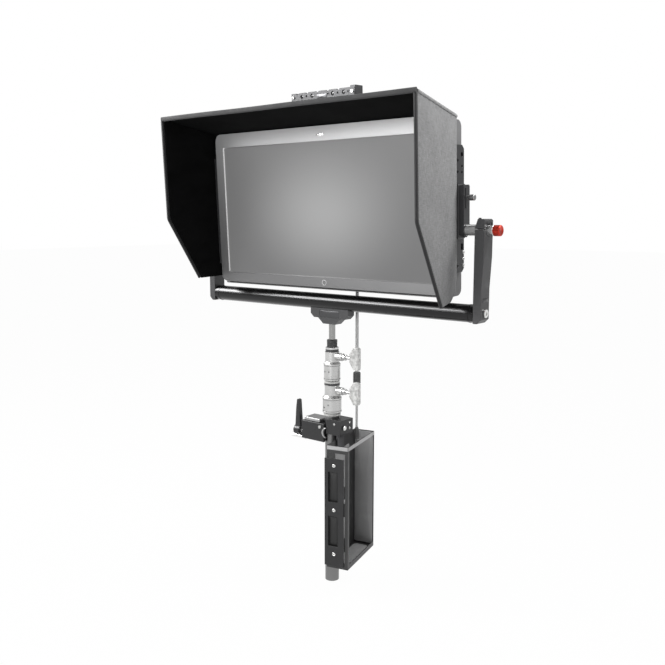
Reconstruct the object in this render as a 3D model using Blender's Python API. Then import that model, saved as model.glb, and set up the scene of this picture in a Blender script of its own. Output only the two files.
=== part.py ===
"""Monitor mount for a film set: a stand top carries a yoke, and the yoke carries a hooded monitor.

Metres, +Z up, X along the yoke tube, the screen faces -Y. The origin is the centre of the column's flat lower end.
Every piece that rocks with the monitor is written from the rocking axis, at the angle shown in the photograph.
"""
import math

import bmesh
import bpy
from mathutils import Vector

for old in list(bpy.data.objects):
    bpy.data.objects.remove(old, do_unlink=True)

# Clearances
GAP = 0.0003
SLIDE_GAP = 0.0004

# Monitor, from the screen outwards
SCREEN_HALF_X = 0.3110
SCREEN_HALF_Z = 0.1580
SCREEN_MID_Z = 0.0456
SCREEN_SUNK = 0.0030
SCREEN_T = 0.0050
BEZEL_SIDE = 0.0260
BEZEL_CHIN = 0.0238
BEZEL_BROW = 0.0337
BEZEL_HALF_X = SCREEN_HALF_X + BEZEL_SIDE
BEZEL_LOW = SCREEN_MID_Z - SCREEN_HALF_Z - BEZEL_CHIN
BEZEL_HIGH = SCREEN_MID_Z + SCREEN_HALF_Z + BEZEL_BROW
BEZEL_FRONT = -0.0480
BEZEL_DEPTH = 0.0140
BEZEL_CORNER = 0.0170
BEZEL_FACE_T = 0.0090
BEZEL_T = 0.0040
SHELL_T = 0.0030
REAR_SHIFT = 0.0068
REAR_BACK = 0.0275
REAR_LOW = BEZEL_LOW - REAR_SHIFT
REAR_HIGH = BEZEL_HIGH - REAR_SHIFT
REAR_CORNER = 0.0160
HUMP_HALF_X = 0.1800
HUMP_BACK = REAR_BACK + 0.0205
HUMP_LOW = REAR_LOW + 0.0250
HUMP_HIGH = REAR_HIGH - 0.0805

# Heights over the column's cut end
TUBE_Z = 0.7090
TUBE_R = 0.0194
TUBE_CLEAR = 0.0136
SHAFT_RISE = TUBE_R + TUBE_CLEAR - REAR_LOW
SHAFT_Z = TUBE_Z + SHAFT_RISE
LEAN = math.radians(2.6)

# Column and risers
COLUMN_R = 0.0175
COLUMN_WALL = 0.0020
COLUMN_TOP = 0.4700
PLUG_H = 0.0120
RISER_WALL = 0.0018
RISER_1_R = COLUMN_R - COLUMN_WALL - SLIDE_GAP
RISER_2_R = RISER_1_R - RISER_WALL - SLIDE_GAP
RISER_FOOT = 0.0300

# Castings on the column, from below
BUMPER_H = 0.0055
CUP_2_Z = 0.4340
CUP_2_H = 0.0450
CUP_2_R = 0.0232
NECK_2_H = 0.0250
NECK_2_R = 0.0186
RING_H = 0.0048
CUP_1_H = 0.0480
CUP_1_R = 0.0202
NECK_1_H = 0.0245
NECK_1_R = 0.0172
BOSS_R = 0.0095
BOSS_END = 0.0345

# Wing screws
STEM_R = 0.0042
NUT_R = 0.0075
NUT_H = 0.0085
WING_IN = 0.0570
WING_OUT = 0.0840
WING_HALF = 0.0280
WING_THICK = 0.0120

# Spigot adapter
FLANGE_R = 0.0163
FLANGE_H = 0.0058
KNURL_R = 0.0126
KNURL_H = 0.0108
WASHER_R = 0.0130
WASHER_H = 0.0068
PIN_R = 0.0080

# Yoke
TUBE_WALL = 0.0025
ARM_REACH = 0.0565
ARM_IN = BEZEL_HALF_X + ARM_REACH
ARM_THICK = 0.0190
ARM_SWELL = 0.0040
ARM_HALF_Y = 0.0185
ARM_FOOT = -0.0195
ARM_OVER = 0.0240
ARM_TOP = SHAFT_RISE + ARM_OVER
ARM_SWELL_LOW = 0.0550
ARM_SWELL_HIGH = 0.1210
ARM_FOOT_CHAMFER = 0.0090
SPLIT_Z = 0.0012
SPLIT_H = 0.0026
BLOCK_HALF_Y = 0.0120
BLOCK_HALF_X = 0.0580
BLOCK_FOOT = -0.0535
LABEL_HALF_X = 0.0300
LABEL_DEPTH = 0.0010

# Rocking shafts and knobs
SHAFT_R = 0.0125
JOURNAL_R = 0.0116
SHAFT_END = 0.0130
SHAFT_OUT = ARM_IN + ARM_THICK + ARM_SWELL + SHAFT_END
KNOB_R = 0.0118
KNOB_H = 0.0147

# Cage plates at the monitor's sides
CAGE_THICK = 0.0070
CAGE_LOW = BEZEL_LOW + 0.0454
CAGE_HIGH = BEZEL_HIGH - 0.0595
CAGE_BACK = 0.0245
CAGE_CHAMFER = 0.0080
THUMB_R = 0.0032
SLOT_Y = 0.0045
SLOT_HALF_Y = THUMB_R + 0.0013
SLOT_LOW = 0.0180
SLOT_HIGH = 0.0800
CAGE_HOLE_Y = 0.0157
EYE_Z = CAGE_HIGH - 0.0198
EYE_R = 0.0050
CAGE_HOLE_R = 0.0028
CAGE_HOLES = (CAGE_HIGH - 0.0442, CAGE_HIGH - 0.0566)
WINDOW_Z = -0.0360
WINDOW_HALF = 0.0072

# Sliding brackets
SLIDER_THICK = 0.0070
SLIDER_FRONT = -0.0138
SLIDER_BACK = 0.0160
SLIDER_LOW = -0.0180
SLIDER_HIGH = 0.0965
POST_HALF_Y = 0.0125
POST_REACH = 0.0280
POST_OUT = BEZEL_HALF_X + POST_REACH
POST_HIGH = 0.0950
THUMB_Z = 0.0680

# Hood
HOOD_T = 0.0050
HOOD_SIDE = 0.0130
HOOD_FLARE = 0.0170
HOOD_HALF_BACK = BEZEL_HALF_X + HOOD_SIDE
HOOD_HALF_FRONT = HOOD_HALF_BACK + HOOD_FLARE
HOOD_BACK = -0.0145
HOOD_FRONT = -0.1975
HOOD_RISE = 0.0386
HOOD_Z_BACK = BEZEL_HIGH + 0.0016
HOOD_Z_FRONT = HOOD_Z_BACK + HOOD_RISE
HEM = 0.0070

# Handle over the monitor
HANDLE_LEFT = -0.1017
HANDLE_RIGHT = 0.0861
HANDLE_FRONT = -0.0141
HANDLE_BACK = 0.0188
HANDLE_LOW = HOOD_Z_BACK + 0.0596
HANDLE_HIGH = HANDLE_LOW + 0.0205
PLATE_T = 0.0050
HANDLE_BLOCK = 0.0155
BAR_R = 0.0080
BAR_Y = 0.0052
BAR_Z = HANDLE_LOW + 0.0115

# Holder box
BOX_X = 0.0478
BOX_Y = 0.0157
BOX_YAW = math.radians(14.0)
BOX_W = 0.0555
BOX_L = 0.1660
BOX_TOP = 0.3740
BOX_FOOT = 0.0680
BOX_T = 0.0015
BOX_OPEN_LEFT = 0.00475
BOX_OPEN_RIGHT = 0.00775
BOX_OPEN_LOW = (BOX_FOOT + 0.0170, BOX_FOOT + 0.1330)
BOX_OPEN_HIGH = (BOX_FOOT + 0.1670, BOX_TOP - 0.0180)
FACE_T = 0.0030
FACE_LEFT = -BOX_W / 2 - 0.00475
FACE_RIGHT = BOX_W / 2 - 0.01025
FACE_FOOT = BOX_FOOT + 0.0060
FACE_TOP = BOX_TOP - 0.0310
FACE_WINDOW = (FACE_LEFT + 0.0095, FACE_LEFT + 0.0345)
FACE_WINDOWS = ((BOX_OPEN_HIGH[0], BOX_OPEN_HIGH[0] + 0.0750), (BOX_OPEN_LOW[1] - 0.0770, BOX_OPEN_LOW[1] - 0.0010))
HANGER_FOOT = BOX_TOP - 0.0320

# Clamp on the column
CLAMP_HALF_Y = 0.0260
JAW_OUT = 0.0460
JAW_FOOT = 0.3850
JAW_TOP = 0.4225
LEFT_OUT = -0.0785
LEFT_FOOT = 0.3615
LEFT_TOP = 0.4080
SCREW_Z = 0.3745
LEVER_X = -0.1045

# Power cable
CABLE_X = 0.0472
CABLE_Y = 0.0385
CABLE_R = 0.0040
CABLE_LOW_R = 0.0030


def finish(name, colour, metallic=0.0, roughness=0.5):
    """One plain Principled finish."""
    mat = bpy.data.materials.new(name)
    mat.use_nodes = True
    node = mat.node_tree.nodes["Principled BSDF"]
    node.inputs["Base Color"].default_value = (*colour, 1.0)
    node.inputs["Metallic"].default_value = metallic
    node.inputs["Roughness"].default_value = roughness
    return mat


LOOKS = {
    "steel": ((0.62, 0.62, 0.61), 1.0, 0.3),
    "chrome": ((0.8, 0.8, 0.8), 1.0, 0.15),
    "cast": ((0.6, 0.6, 0.6), 1.0, 0.45),
    "nylon": ((0.85, 0.85, 0.83), 0.0, 0.5),
    "rubber": ((0.03, 0.03, 0.03), 0.0, 0.8),
    "black": ((0.02, 0.02, 0.02), 0.6, 0.35),
    "anodised": ((0.07, 0.07, 0.075), 0.7, 0.4),
    "gloss": ((0.02, 0.02, 0.02), 0.3, 0.12),
    "red": ((0.55, 0.05, 0.03), 0.5, 0.3),
    "housing": ((0.27, 0.27, 0.27), 0.0, 0.5),
    "bezel": ((0.33, 0.33, 0.33), 0.0, 0.4),
    "screen": ((0.12, 0.12, 0.12), 0.0, 0.25),
    "cloth": ((0.22, 0.22, 0.22), 0.0, 0.9),
    "binding": ((0.015, 0.015, 0.015), 0.0, 0.9),
    "sheet": ((0.04, 0.04, 0.04), 0.3, 0.5),
    "grey": ((0.2, 0.2, 0.2), 0.3, 0.5),
}

ROCK = bpy.data.objects.new("rocking_axis", None)
bpy.context.collection.objects.link(ROCK)
ROCK.location = (0.0, 0.0, SHAFT_Z)
ROCK.rotation_euler = (LEAN, 0.0, 0.0)
BOX = bpy.data.objects.new("holder_axis", None)
bpy.context.collection.objects.link(BOX)
BOX.location = (BOX_X, BOX_Y, 0.0)
BOX.rotation_euler = (0.0, 0.0, BOX_YAW)


def broken(obj, width, segments=1, angle=35.0):
    """Breaks the sharp edges of a body."""
    bevel = obj.modifiers.new("broken_edges", "BEVEL")
    bevel.width = width
    bevel.segments = segments
    bevel.limit_method = "ANGLE"
    bevel.angle_limit = math.radians(angle)


def solid(name, verts, faces, look, base=None, smooth=False, edge=0.0):
    """A closed mesh object; base is the empty its numbers are written from, edge the width of its broken edges."""
    mesh = bpy.data.meshes.new(name)
    mesh.from_pydata([tuple(v) for v in verts], [], faces)
    bm = bmesh.new()
    bm.from_mesh(mesh)
    bmesh.ops.remove_doubles(bm, verts=bm.verts, dist=1e-6)
    bmesh.ops.recalc_face_normals(bm, faces=bm.faces)
    bm.to_mesh(mesh)
    bm.free()
    obj = bpy.data.objects.new(name, mesh)
    bpy.context.collection.objects.link(obj)
    if look is not None:
        mesh.materials.append(finish(name, *LOOKS[look]))
    if base is not None:
        obj.parent = base
    if smooth:
        for poly in mesh.polygons:
            poly.use_smooth = True
        mesh.set_sharp_from_angle(angle=math.radians(35))
    if edge > 0.0:
        broken(obj, edge)
    return obj


def extruded(points, shift):
    """Verts and faces of a flat outline carried along one vector."""
    count = len(points)
    shift = Vector(shift)
    verts = [Vector(p) for p in points] + [Vector(p) + shift for p in points]
    faces = [tuple(range(count)), tuple(range(2 * count - 1, count - 1, -1))]
    faces += [(i, (i + 1) % count, count + (i + 1) % count, count + i) for i in range(count)]
    return verts, faces


def prism(name, axis, outline, low, high, look, base=None, edge=0.0):
    """An outline in the plane across the axis, from low to high along it."""
    place = {"X": lambda a, b: (low, a, b), "Y": lambda a, b: (a, low, b), "Z": lambda a, b: (a, b, low)}[axis]
    shift = {"X": (high - low, 0, 0), "Y": (0, high - low, 0), "Z": (0, 0, high - low)}[axis]
    verts, faces = extruded([place(a, b) for a, b in outline], shift)
    return solid(name, verts, faces, look, base, edge=edge)


def block(name, x, y, z, look, base=None, edge=0.0005):
    """A plain box from three (low, high) pairs."""
    outline = [(x[0], y[0]), (x[1], y[0]), (x[1], y[1]), (x[0], y[1])]
    return prism(name, "Z", outline, z[0], z[1], look, base, edge)


def rounded(x, z, radius, steps=4):
    """Outline of a rectangle with round corners."""
    out = []
    for cx, cz, start in ((x[1], z[1], 0), (x[0], z[1], 90), (x[0], z[0], 180), (x[1], z[0], 270)):
        mx = cx - radius if cx == x[1] else cx + radius
        mz = cz - radius if cz == z[1] else cz + radius
        for i in range(steps + 1):
            a = math.radians(start + 90.0 * i / steps)
            out.append((mx + radius * math.cos(a), mz + radius * math.sin(a)))
    return out


def turned(name, axis, centre, profile, look, base=None, steps=32, ring=False, edge=0.0):
    """A body of revolution: (radius, position) pairs along the axis; a ring keeps its middle open."""
    verts, faces = [], []
    place = {"X": lambda r, t, a: (t, r * math.cos(a), r * math.sin(a)),
             "Y": lambda r, t, a: (r * math.sin(a), t, r * math.cos(a)),
             "Z": lambda r, t, a: (r * math.cos(a), r * math.sin(a), t)}[axis]
    for r, t in profile:
        for i in range(steps):
            p = place(r, t, 2.0 * math.pi * i / steps)
            verts.append((p[0] + centre[0], p[1] + centre[1], p[2] + centre[2]))
    rows = len(profile)
    for j in range(rows if ring else rows - 1):
        k = (j + 1) % rows
        for i in range(steps):
            n = (i + 1) % steps
            faces.append((j * steps + i, j * steps + n, k * steps + n, k * steps + i))
    if not ring:
        faces.append(tuple(range(steps)))
        faces.append(tuple(range((rows - 1) * steps, rows * steps)))
    return solid(name, verts, faces, look, base, smooth=True, edge=edge)


def rod(name, axis, centre, radius, low, high, look, base=None, steps=22, chamfer=0.0004):
    """A round bar with broken ends."""
    profile = [(radius - chamfer, low), (radius, low + chamfer), (radius, high - chamfer), (radius - chamfer, high)]
    return turned(name, axis, centre, profile, look, base, steps)


def sleeve(name, axis, centre, inner, outer, low, high, look, base=None, steps=32):
    """A round tube with both ends open."""
    profile = [(inner, low), (outer, low), (outer, high), (inner, high)]
    return turned(name, axis, centre, profile, look, base, steps, ring=True)


def work(target, tool, operation):
    """One exact Boolean with a hidden tool body."""
    tool.hide_render = True
    tool.display_type = "WIRE"
    mod = target.modifiers.new(operation.lower(), "BOOLEAN")
    mod.operation = operation
    mod.solver = "EXACT"
    mod.object = tool
    names = [m.name for m in target.modifiers if m.type == "BEVEL"]
    for name in names:
        target.modifiers.move(target.modifiers.find(name), len(target.modifiers) - 1)


def cut(target, tool):
    """Takes the tool's volume away."""
    work(target, tool, "DIFFERENCE")


def add(target, tool):
    """Adds the tool's volume."""
    work(target, tool, "UNION")


# Column, risers and the castings they slide in
sleeve("column_tube", "Z", (0, 0, 0), COLUMN_R - COLUMN_WALL, COLUMN_R, 0.0, COLUMN_TOP, "steel")
rod("column_plug", "Z", (0, 0, 0), COLUMN_R - COLUMN_WALL - GAP, 0.0, PLUG_H, "rubber")

NECK_2_Z = CUP_2_Z + CUP_2_H
NECK_2_TOP = NECK_2_Z + NECK_2_H
BUMPER_1_Z = NECK_2_TOP + GAP + RING_H + GAP
CUP_1_Z = BUMPER_1_Z + RING_H + GAP
NECK_1_Z = CUP_1_Z + CUP_1_H
NECK_1_TOP = NECK_1_Z + NECK_1_H
RING_1_TOP = NECK_1_TOP + GAP + RING_H
FLANGE_Z = RING_1_TOP + GAP
KNURL_Z = FLANGE_Z + FLANGE_H + GAP
WASHER_Z = KNURL_Z + KNURL_H + GAP
PIN_FOOT = WASHER_Z - GAP

sleeve("riser_lower", "Z", (0, 0, 0), RISER_1_R - RISER_WALL, RISER_1_R, RISER_FOOT, NECK_1_Z - 0.006, "steel")
sleeve("riser_upper", "Z", (0, 0, 0), RISER_2_R - RISER_WALL, RISER_2_R, RISER_FOOT + 0.02, FLANGE_Z - GAP, "steel")

CUP_LIP = 0.0020
casting_2 = turned("collar_lower", "Z", (0, 0, 0), [
    (COLUMN_R + GAP, CUP_2_Z), (CUP_2_R - CUP_LIP, CUP_2_Z), (CUP_2_R, CUP_2_Z + CUP_LIP),
    (CUP_2_R, NECK_2_Z - 0.006), (NECK_2_R, NECK_2_Z), (NECK_2_R, NECK_2_TOP),
    (RISER_1_R + SLIDE_GAP, NECK_2_TOP), (RISER_1_R + SLIDE_GAP, COLUMN_TOP + GAP), (COLUMN_R + GAP, COLUMN_TOP + GAP)],
    "cast", ring=True)
casting_1 = turned("collar_upper", "Z", (0, 0, 0), [
    (RISER_1_R + GAP, CUP_1_Z), (CUP_1_R - CUP_LIP, CUP_1_Z), (CUP_1_R, CUP_1_Z + CUP_LIP),
    (CUP_1_R, NECK_1_Z - 0.005), (NECK_1_R, NECK_1_Z), (NECK_1_R, NECK_1_TOP),
    (RISER_2_R + SLIDE_GAP, NECK_1_TOP), (RISER_2_R + SLIDE_GAP, NECK_1_Z - 0.006 + GAP),
    (RISER_1_R + GAP, NECK_1_Z - 0.006 + GAP)], "cast", ring=True)
sleeve("bumper_lower", "Z", (0, 0, 0), COLUMN_R + GAP, CUP_2_R - 0.002, CUP_2_Z - GAP - BUMPER_H, CUP_2_Z - GAP, "rubber")
sleeve("ring_lower", "Z", (0, 0, 0), RISER_1_R + SLIDE_GAP, NECK_2_R + 0.0008, NECK_2_TOP + GAP, NECK_2_TOP + GAP + RING_H,
       "nylon")
sleeve("bumper_upper", "Z", (0, 0, 0), RISER_1_R + SLIDE_GAP, NECK_2_R + 0.0004, BUMPER_1_Z, BUMPER_1_Z + RING_H, "rubber")
sleeve("ring_upper", "Z", (0, 0, 0), RISER_2_R + SLIDE_GAP, FLANGE_R, NECK_1_TOP + GAP, RING_1_TOP, "nylon")

KNOB_2_Z = 0.4910
KNOB_1_Z = NECK_1_TOP - 0.0110
BORE_IN = {1: RISER_2_R + SLIDE_GAP, 2: RISER_1_R + SLIDE_GAP}
for level, casting, height in ((2, casting_2, KNOB_2_Z), (1, casting_1, KNOB_1_Z)):
    word = {1: "upper", 2: "lower"}[level]
    start = BORE_IN[level]
    boss = rod(f"boss_{word}", "X", (0, 0, height), BOSS_R, start + 0.0010, BOSS_END, None, chamfer=0.0010)
    add(casting, boss)
    bore = rod(f"bore_{word}", "X", (0, 0, height), STEM_R + GAP, start - 0.004, BOSS_END + 0.01, None)
    cut(casting, bore)
    tip = rod(f"cup_hole_{word}", "Y", (-0.008, 0, height - 0.038), 0.0022, -0.04, -0.012, None, steps=20)
    if level == 1:
        cut(casting, tip)
    else:
        tip.location.z = -0.004
        cut(casting, tip)
    stem = rod(f"wing_screw_{word}", "X", (0, 0, height), STEM_R, start + GAP, WING_IN + 0.004, "chrome")
    wing_outline = [(WING_IN, -0.010), (WING_IN + 0.007, -0.020), (WING_IN + 0.012, -WING_HALF),
                    (WING_OUT - 0.003, -WING_HALF), (WING_OUT, -WING_HALF + 0.004), (WING_OUT, WING_HALF - 0.004),
                    (WING_OUT - 0.003, WING_HALF), (WING_IN + 0.012, WING_HALF), (WING_IN + 0.007, 0.020),
                    (WING_IN, 0.010)]
    wing = prism(f"wing_body_{word}", "Y", [(x, z + height) for x, z in wing_outline], -WING_THICK / 2, WING_THICK / 2,
                 None)
    broken(wing, 0.0018, 2)
    add(stem, wing)
    nut = rod(f"nut_body_{word}", "X", (0, 0, height), NUT_R, BOSS_END + GAP, BOSS_END + GAP + NUT_H, None, steps=20)
    add(stem, nut)

# Spigot adapter under the yoke
turned("adapter_flange", "Z", (0, 0, 0), [(0.0135, FLANGE_Z), (FLANGE_R, FLANGE_Z + 0.0008),
       (FLANGE_R, FLANGE_Z + FLANGE_H - 0.0008), (FLANGE_R - 0.0008, FLANGE_Z + FLANGE_H)], "anodised")
teeth = 24
knurl = []
for i in range(2 * teeth):
    a = math.pi * i / teeth
    r = KNURL_R if i % 2 == 0 else KNURL_R - 0.0008
    knurl.append((r * math.cos(a), r * math.sin(a)))
ring_body = prism("adapter_knurl", "Z", knurl, KNURL_Z, KNURL_Z + KNURL_H, "black")
add(ring_body, rod("washer_body", "Z", (0, 0, 0), WASHER_R, WASHER_Z - 0.0010, WASHER_Z + WASHER_H, None, chamfer=0.0008))
PIN_LOW = WASHER_Z + WASHER_H + GAP
rod("yoke_pin", "Z", (0, 0, 0), PIN_R, PIN_LOW, TUBE_Z + BLOCK_FOOT - GAP, "chrome")

# Yoke: block, tube and arms
saddle = rod("saddle_tool", "X", (0, 0, TUBE_Z), TUBE_R + GAP, -BLOCK_HALF_X - 0.012, BLOCK_HALF_X + 0.012, None, steps=48,
             chamfer=0.0001)
half = [(BLOCK_HALF_X, -0.0050), (BLOCK_HALF_X, -0.0300), (BLOCK_HALF_X - 0.0100, -0.0395), (0.0345, -0.0395),
        (0.0220, BLOCK_FOOT + 0.0030), (0.0190, BLOCK_FOOT)]
outline = [(x, TUBE_Z + z) for x, z in half] + [(-x, TUBE_Z + z) for x, z in reversed(half)]
yoke_block = prism("yoke_block", "Y", outline, -BLOCK_HALF_Y, BLOCK_HALF_Y, "anodised", edge=0.0008)
cut(yoke_block, saddle)
recess = block("label_tool", (-LABEL_HALF_X, LABEL_HALF_X), (-BLOCK_HALF_Y - 0.01, -BLOCK_HALF_Y + LABEL_DEPTH),
               (TUBE_Z - 0.0380, TUBE_Z - 0.0212), None, edge=0.0)
cut(yoke_block, recess)

sleeve("yoke_tube", "X", (0, 0, TUBE_Z), TUBE_R - TUBE_WALL, TUBE_R, -ARM_IN + GAP, ARM_IN - GAP, "gloss", steps=48)

for side, word in ((1, "right"), (-1, "left")):
    arm_out = ARM_IN + ARM_THICK
    swell = arm_out + ARM_SWELL
    shape = [(ARM_IN, ARM_FOOT + 0.001), (ARM_IN + 0.001, ARM_FOOT), (arm_out - ARM_FOOT_CHAMFER, ARM_FOOT),
             (arm_out, ARM_FOOT + ARM_FOOT_CHAMFER), (arm_out, ARM_SWELL_LOW), (swell, ARM_SWELL_HIGH),
             (swell, ARM_TOP - 0.003), (swell - 0.003, ARM_TOP), (ARM_IN + 0.0065, ARM_TOP), (ARM_IN + 0.0025, ARM_TOP - 0.012),
             (ARM_IN, ARM_TOP - 0.018)]
    arm = prism(f"arm_{word}", "Y", [(side * x, TUBE_Z + z) for x, z in shape], -ARM_HALF_Y, ARM_HALF_Y, "anodised",
                edge=0.0009)
    low, high = sorted((side * (ARM_IN - 0.0135), side * (swell + 0.0135)))
    cut(arm, rod(f"arm_bore_{word}", "X", (0, 0, SHAFT_Z), JOURNAL_R + GAP, low, high, None, steps=32, chamfer=0.0001))
    cut(arm, block(f"arm_split_{word}", (low, high), (-ARM_HALF_Y - 0.0115, -0.0040),
                   (SHAFT_Z + SPLIT_Z, SHAFT_Z + SPLIT_Z + SPLIT_H), None, edge=0.0))
    low, high = sorted((side * (arm_out + GAP), side * (arm_out + GAP + 0.0035)))
    bolt = turned(f"arm_bolt_{word}", "X", (0, 0, TUBE_Z + 0.0020), [(0.0090, low), (0.0090, high)], "steel", steps=28)
    face = arm_out + GAP + 0.0035
    low, high = sorted((side * (face - 0.0015), side * (face + 0.01)))
    hexagon = [(0.0048 * math.cos(math.radians(60 * i)), TUBE_Z + 0.0020 + 0.0048 * math.sin(math.radians(60 * i)))
               for i in range(6)]
    cut(bolt, prism(f"bolt_socket_{word}", "X", hexagon, low, high, None))

# Rocking shafts, end knobs and the brackets that slide on the cage
SLIDER_IN = BEZEL_HALF_X + GAP + CAGE_THICK + SLIDE_GAP
SLIDER_OUT = SLIDER_IN + SLIDER_THICK
for side, word in ((1, "right"), (-1, "left")):
    span = lambda a, b: (a, b) if side > 0 else (-b, -a)
    steps_x = [(SHAFT_R - 0.0006, POST_OUT + GAP), (SHAFT_R, POST_OUT + GAP + 0.0006), (SHAFT_R, ARM_IN - 0.0016),
               (SHAFT_R - 0.0004, ARM_IN - 0.0012), (JOURNAL_R, ARM_IN - 0.0012), (JOURNAL_R, SHAFT_OUT - 0.0006),
               (JOURNAL_R - 0.0006, SHAFT_OUT)]
    profile = [(r, side * t) for r, t in steps_x]
    shaft = turned(f"shaft_{word}", "X", (0, 0, 0), profile, "steel", ROCK, steps=32)
    flutes = 18
    ring_pts = []
    for i in range(2 * flutes):
        a = math.pi * i / flutes
        r = KNOB_R if i % 2 == 0 else KNOB_R - 0.0006
        ring_pts.append((r * math.cos(a), r * math.sin(a)))
    low, high = span(SHAFT_OUT + GAP, SHAFT_OUT + GAP + KNOB_H)
    prism(f"end_knob_{word}", "X", ring_pts, low, high, "red", ROCK, edge=0.0007)

    low, high = span(SLIDER_IN, SLIDER_OUT)
    bracket = block(f"bracket_{word}", (low, high), (SLIDER_FRONT, SLIDER_BACK), (SLIDER_LOW, SLIDER_HIGH),
                    "anodised", ROCK, edge=0.0006)
    low, high = span(SLIDER_OUT - 0.002, POST_OUT)
    post = prism(f"post_{word}", "X", [(-POST_HALF_Y, -0.004), (-0.0105, -0.0105), (0.0, -0.0150), (0.0105, -0.0105),
                 (POST_HALF_Y, -0.004), (POST_HALF_Y, POST_HIGH - 0.003), (POST_HALF_Y - 0.003, POST_HIGH),
                 (-POST_HALF_Y + 0.003, POST_HIGH), (-POST_HALF_Y, POST_HIGH - 0.003)], low, high, None, ROCK)
    add(bracket, post)
    low, high = span(POST_OUT - 0.0020, POST_OUT + 0.01)
    pocket = block(f"post_recess_{word}", (low, high), (-0.0090, -0.0030), (POST_HIGH - 0.0490, POST_HIGH - 0.0070), None,
                   ROCK, edge=0.0)
    cut(bracket, pocket)
    low, high = span(SLIDER_IN - 0.02, POST_OUT + 0.02)
    cut(bracket, rod(f"thumb_bore_{word}", "X", (0, SLOT_Y, THUMB_Z), THUMB_R + GAP, low, high, None, ROCK))
    thumb = [(THUMB_R, BEZEL_HALF_X + 0.0030), (THUMB_R, POST_OUT + GAP), (0.0040, POST_OUT + GAP), (0.0040, POST_OUT + 0.0050),
             (0.0060, POST_OUT + 0.0055), (0.0066, POST_OUT + 0.0065), (0.0066, POST_OUT + 0.0155), (0.0056, POST_OUT + 0.0165)]
    turned(f"thumb_screw_{word}", "X", (0, SLOT_Y, THUMB_Z), [(r, side * t) for r, t in thumb], "steel", ROCK, steps=22)

    low, high = span(BEZEL_HALF_X + GAP, BEZEL_HALF_X + GAP + CAGE_THICK)
    c = CAGE_CHAMFER
    cage = prism(f"cage_plate_{word}", "X", [(BEZEL_FRONT, CAGE_LOW), (CAGE_BACK - c, CAGE_LOW), (CAGE_BACK, CAGE_LOW + c),
                 (CAGE_BACK, CAGE_HIGH - c), (CAGE_BACK - c, CAGE_HIGH), (BEZEL_FRONT, CAGE_HIGH)], low, high, "anodised",
                 ROCK, edge=0.0006)
    low, high = span(BEZEL_HALF_X - 0.01, BEZEL_HALF_X + 0.03)
    cut(cage, prism(f"cage_slot_{word}", "X", rounded((SLOT_Y - SLOT_HALF_Y, SLOT_Y + SLOT_HALF_Y), (SLOT_LOW, SLOT_HIGH),
                    SLOT_HALF_Y - 0.0001), low, high, None, ROCK))
    cut(cage, rod(f"cage_eye_{word}", "X", (0, CAGE_HOLE_Y, EYE_Z), EYE_R, low, high, None, ROCK, steps=16))
    for n, hz in enumerate(CAGE_HOLES):
        cut(cage, rod(f"cage_hole_{n}_{word}", "X", (0, CAGE_HOLE_Y, hz), CAGE_HOLE_R, low, high, None, ROCK, steps=12))
    cut(cage, prism(f"cage_window_{word}", "X", rounded((CAGE_HOLE_Y - 0.0045, CAGE_HOLE_Y + 0.0045),
                    (WINDOW_Z - WINDOW_HALF, WINDOW_Z + WINDOW_HALF), 0.0040), low, high, None, ROCK))

# Monitor
bezel = prism("bezel", "Y", rounded((-BEZEL_HALF_X, BEZEL_HALF_X), (BEZEL_LOW, BEZEL_HIGH), BEZEL_CORNER),
              BEZEL_FRONT, BEZEL_FRONT + BEZEL_DEPTH, "bezel", ROCK, edge=0.0025)
cut(bezel, prism("screen_tool", "Y", rounded((-SCREEN_HALF_X, SCREEN_HALF_X), (SCREEN_MID_Z - SCREEN_HALF_Z,
                 SCREEN_MID_Z + SCREEN_HALF_Z), 0.0020, 3), BEZEL_FRONT - 0.02, BEZEL_FRONT + 0.0200, None, ROCK))
cut(bezel, block("bezel_hollow", (-BEZEL_HALF_X + BEZEL_T, BEZEL_HALF_X - BEZEL_T),
                 (BEZEL_FRONT + BEZEL_FACE_T, BEZEL_FRONT + BEZEL_DEPTH + 0.01),
                 (BEZEL_LOW + BEZEL_T, BEZEL_HIGH - BEZEL_T), None, ROCK, edge=0.0))
prism("screen", "Y", rounded((-SCREEN_HALF_X + GAP, SCREEN_HALF_X - GAP), (SCREEN_MID_Z - SCREEN_HALF_Z + GAP,
      SCREEN_MID_Z + SCREEN_HALF_Z - GAP), 0.0018, 3), BEZEL_FRONT + SCREEN_SUNK, BEZEL_FRONT + SCREEN_SUNK + SCREEN_T,
      "screen", ROCK)
BUTTON_X, BUTTON_Z = 0.0100, BEZEL_LOW + 0.0122
BUTTON_R, BUTTON_PROUD, BUTTON_LENGTH, BUTTON_TRAVEL = 0.0045, 0.0008, 0.0044, 0.0010
BUTTON_FRONT = BEZEL_FRONT - BUTTON_PROUD
BUTTON_END = BUTTON_FRONT + BUTTON_LENGTH
cut(bezel, rod("button_tool", "Y", (BUTTON_X, 0, BUTTON_Z), BUTTON_R + GAP, BEZEL_FRONT - 0.01,
               BUTTON_END + BUTTON_TRAVEL + GAP, None, ROCK))
rod("power_button", "Y", (BUTTON_X, 0, BUTTON_Z), BUTTON_R, BUTTON_FRONT, BUTTON_END, "bezel", ROCK, steps=32)

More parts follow.
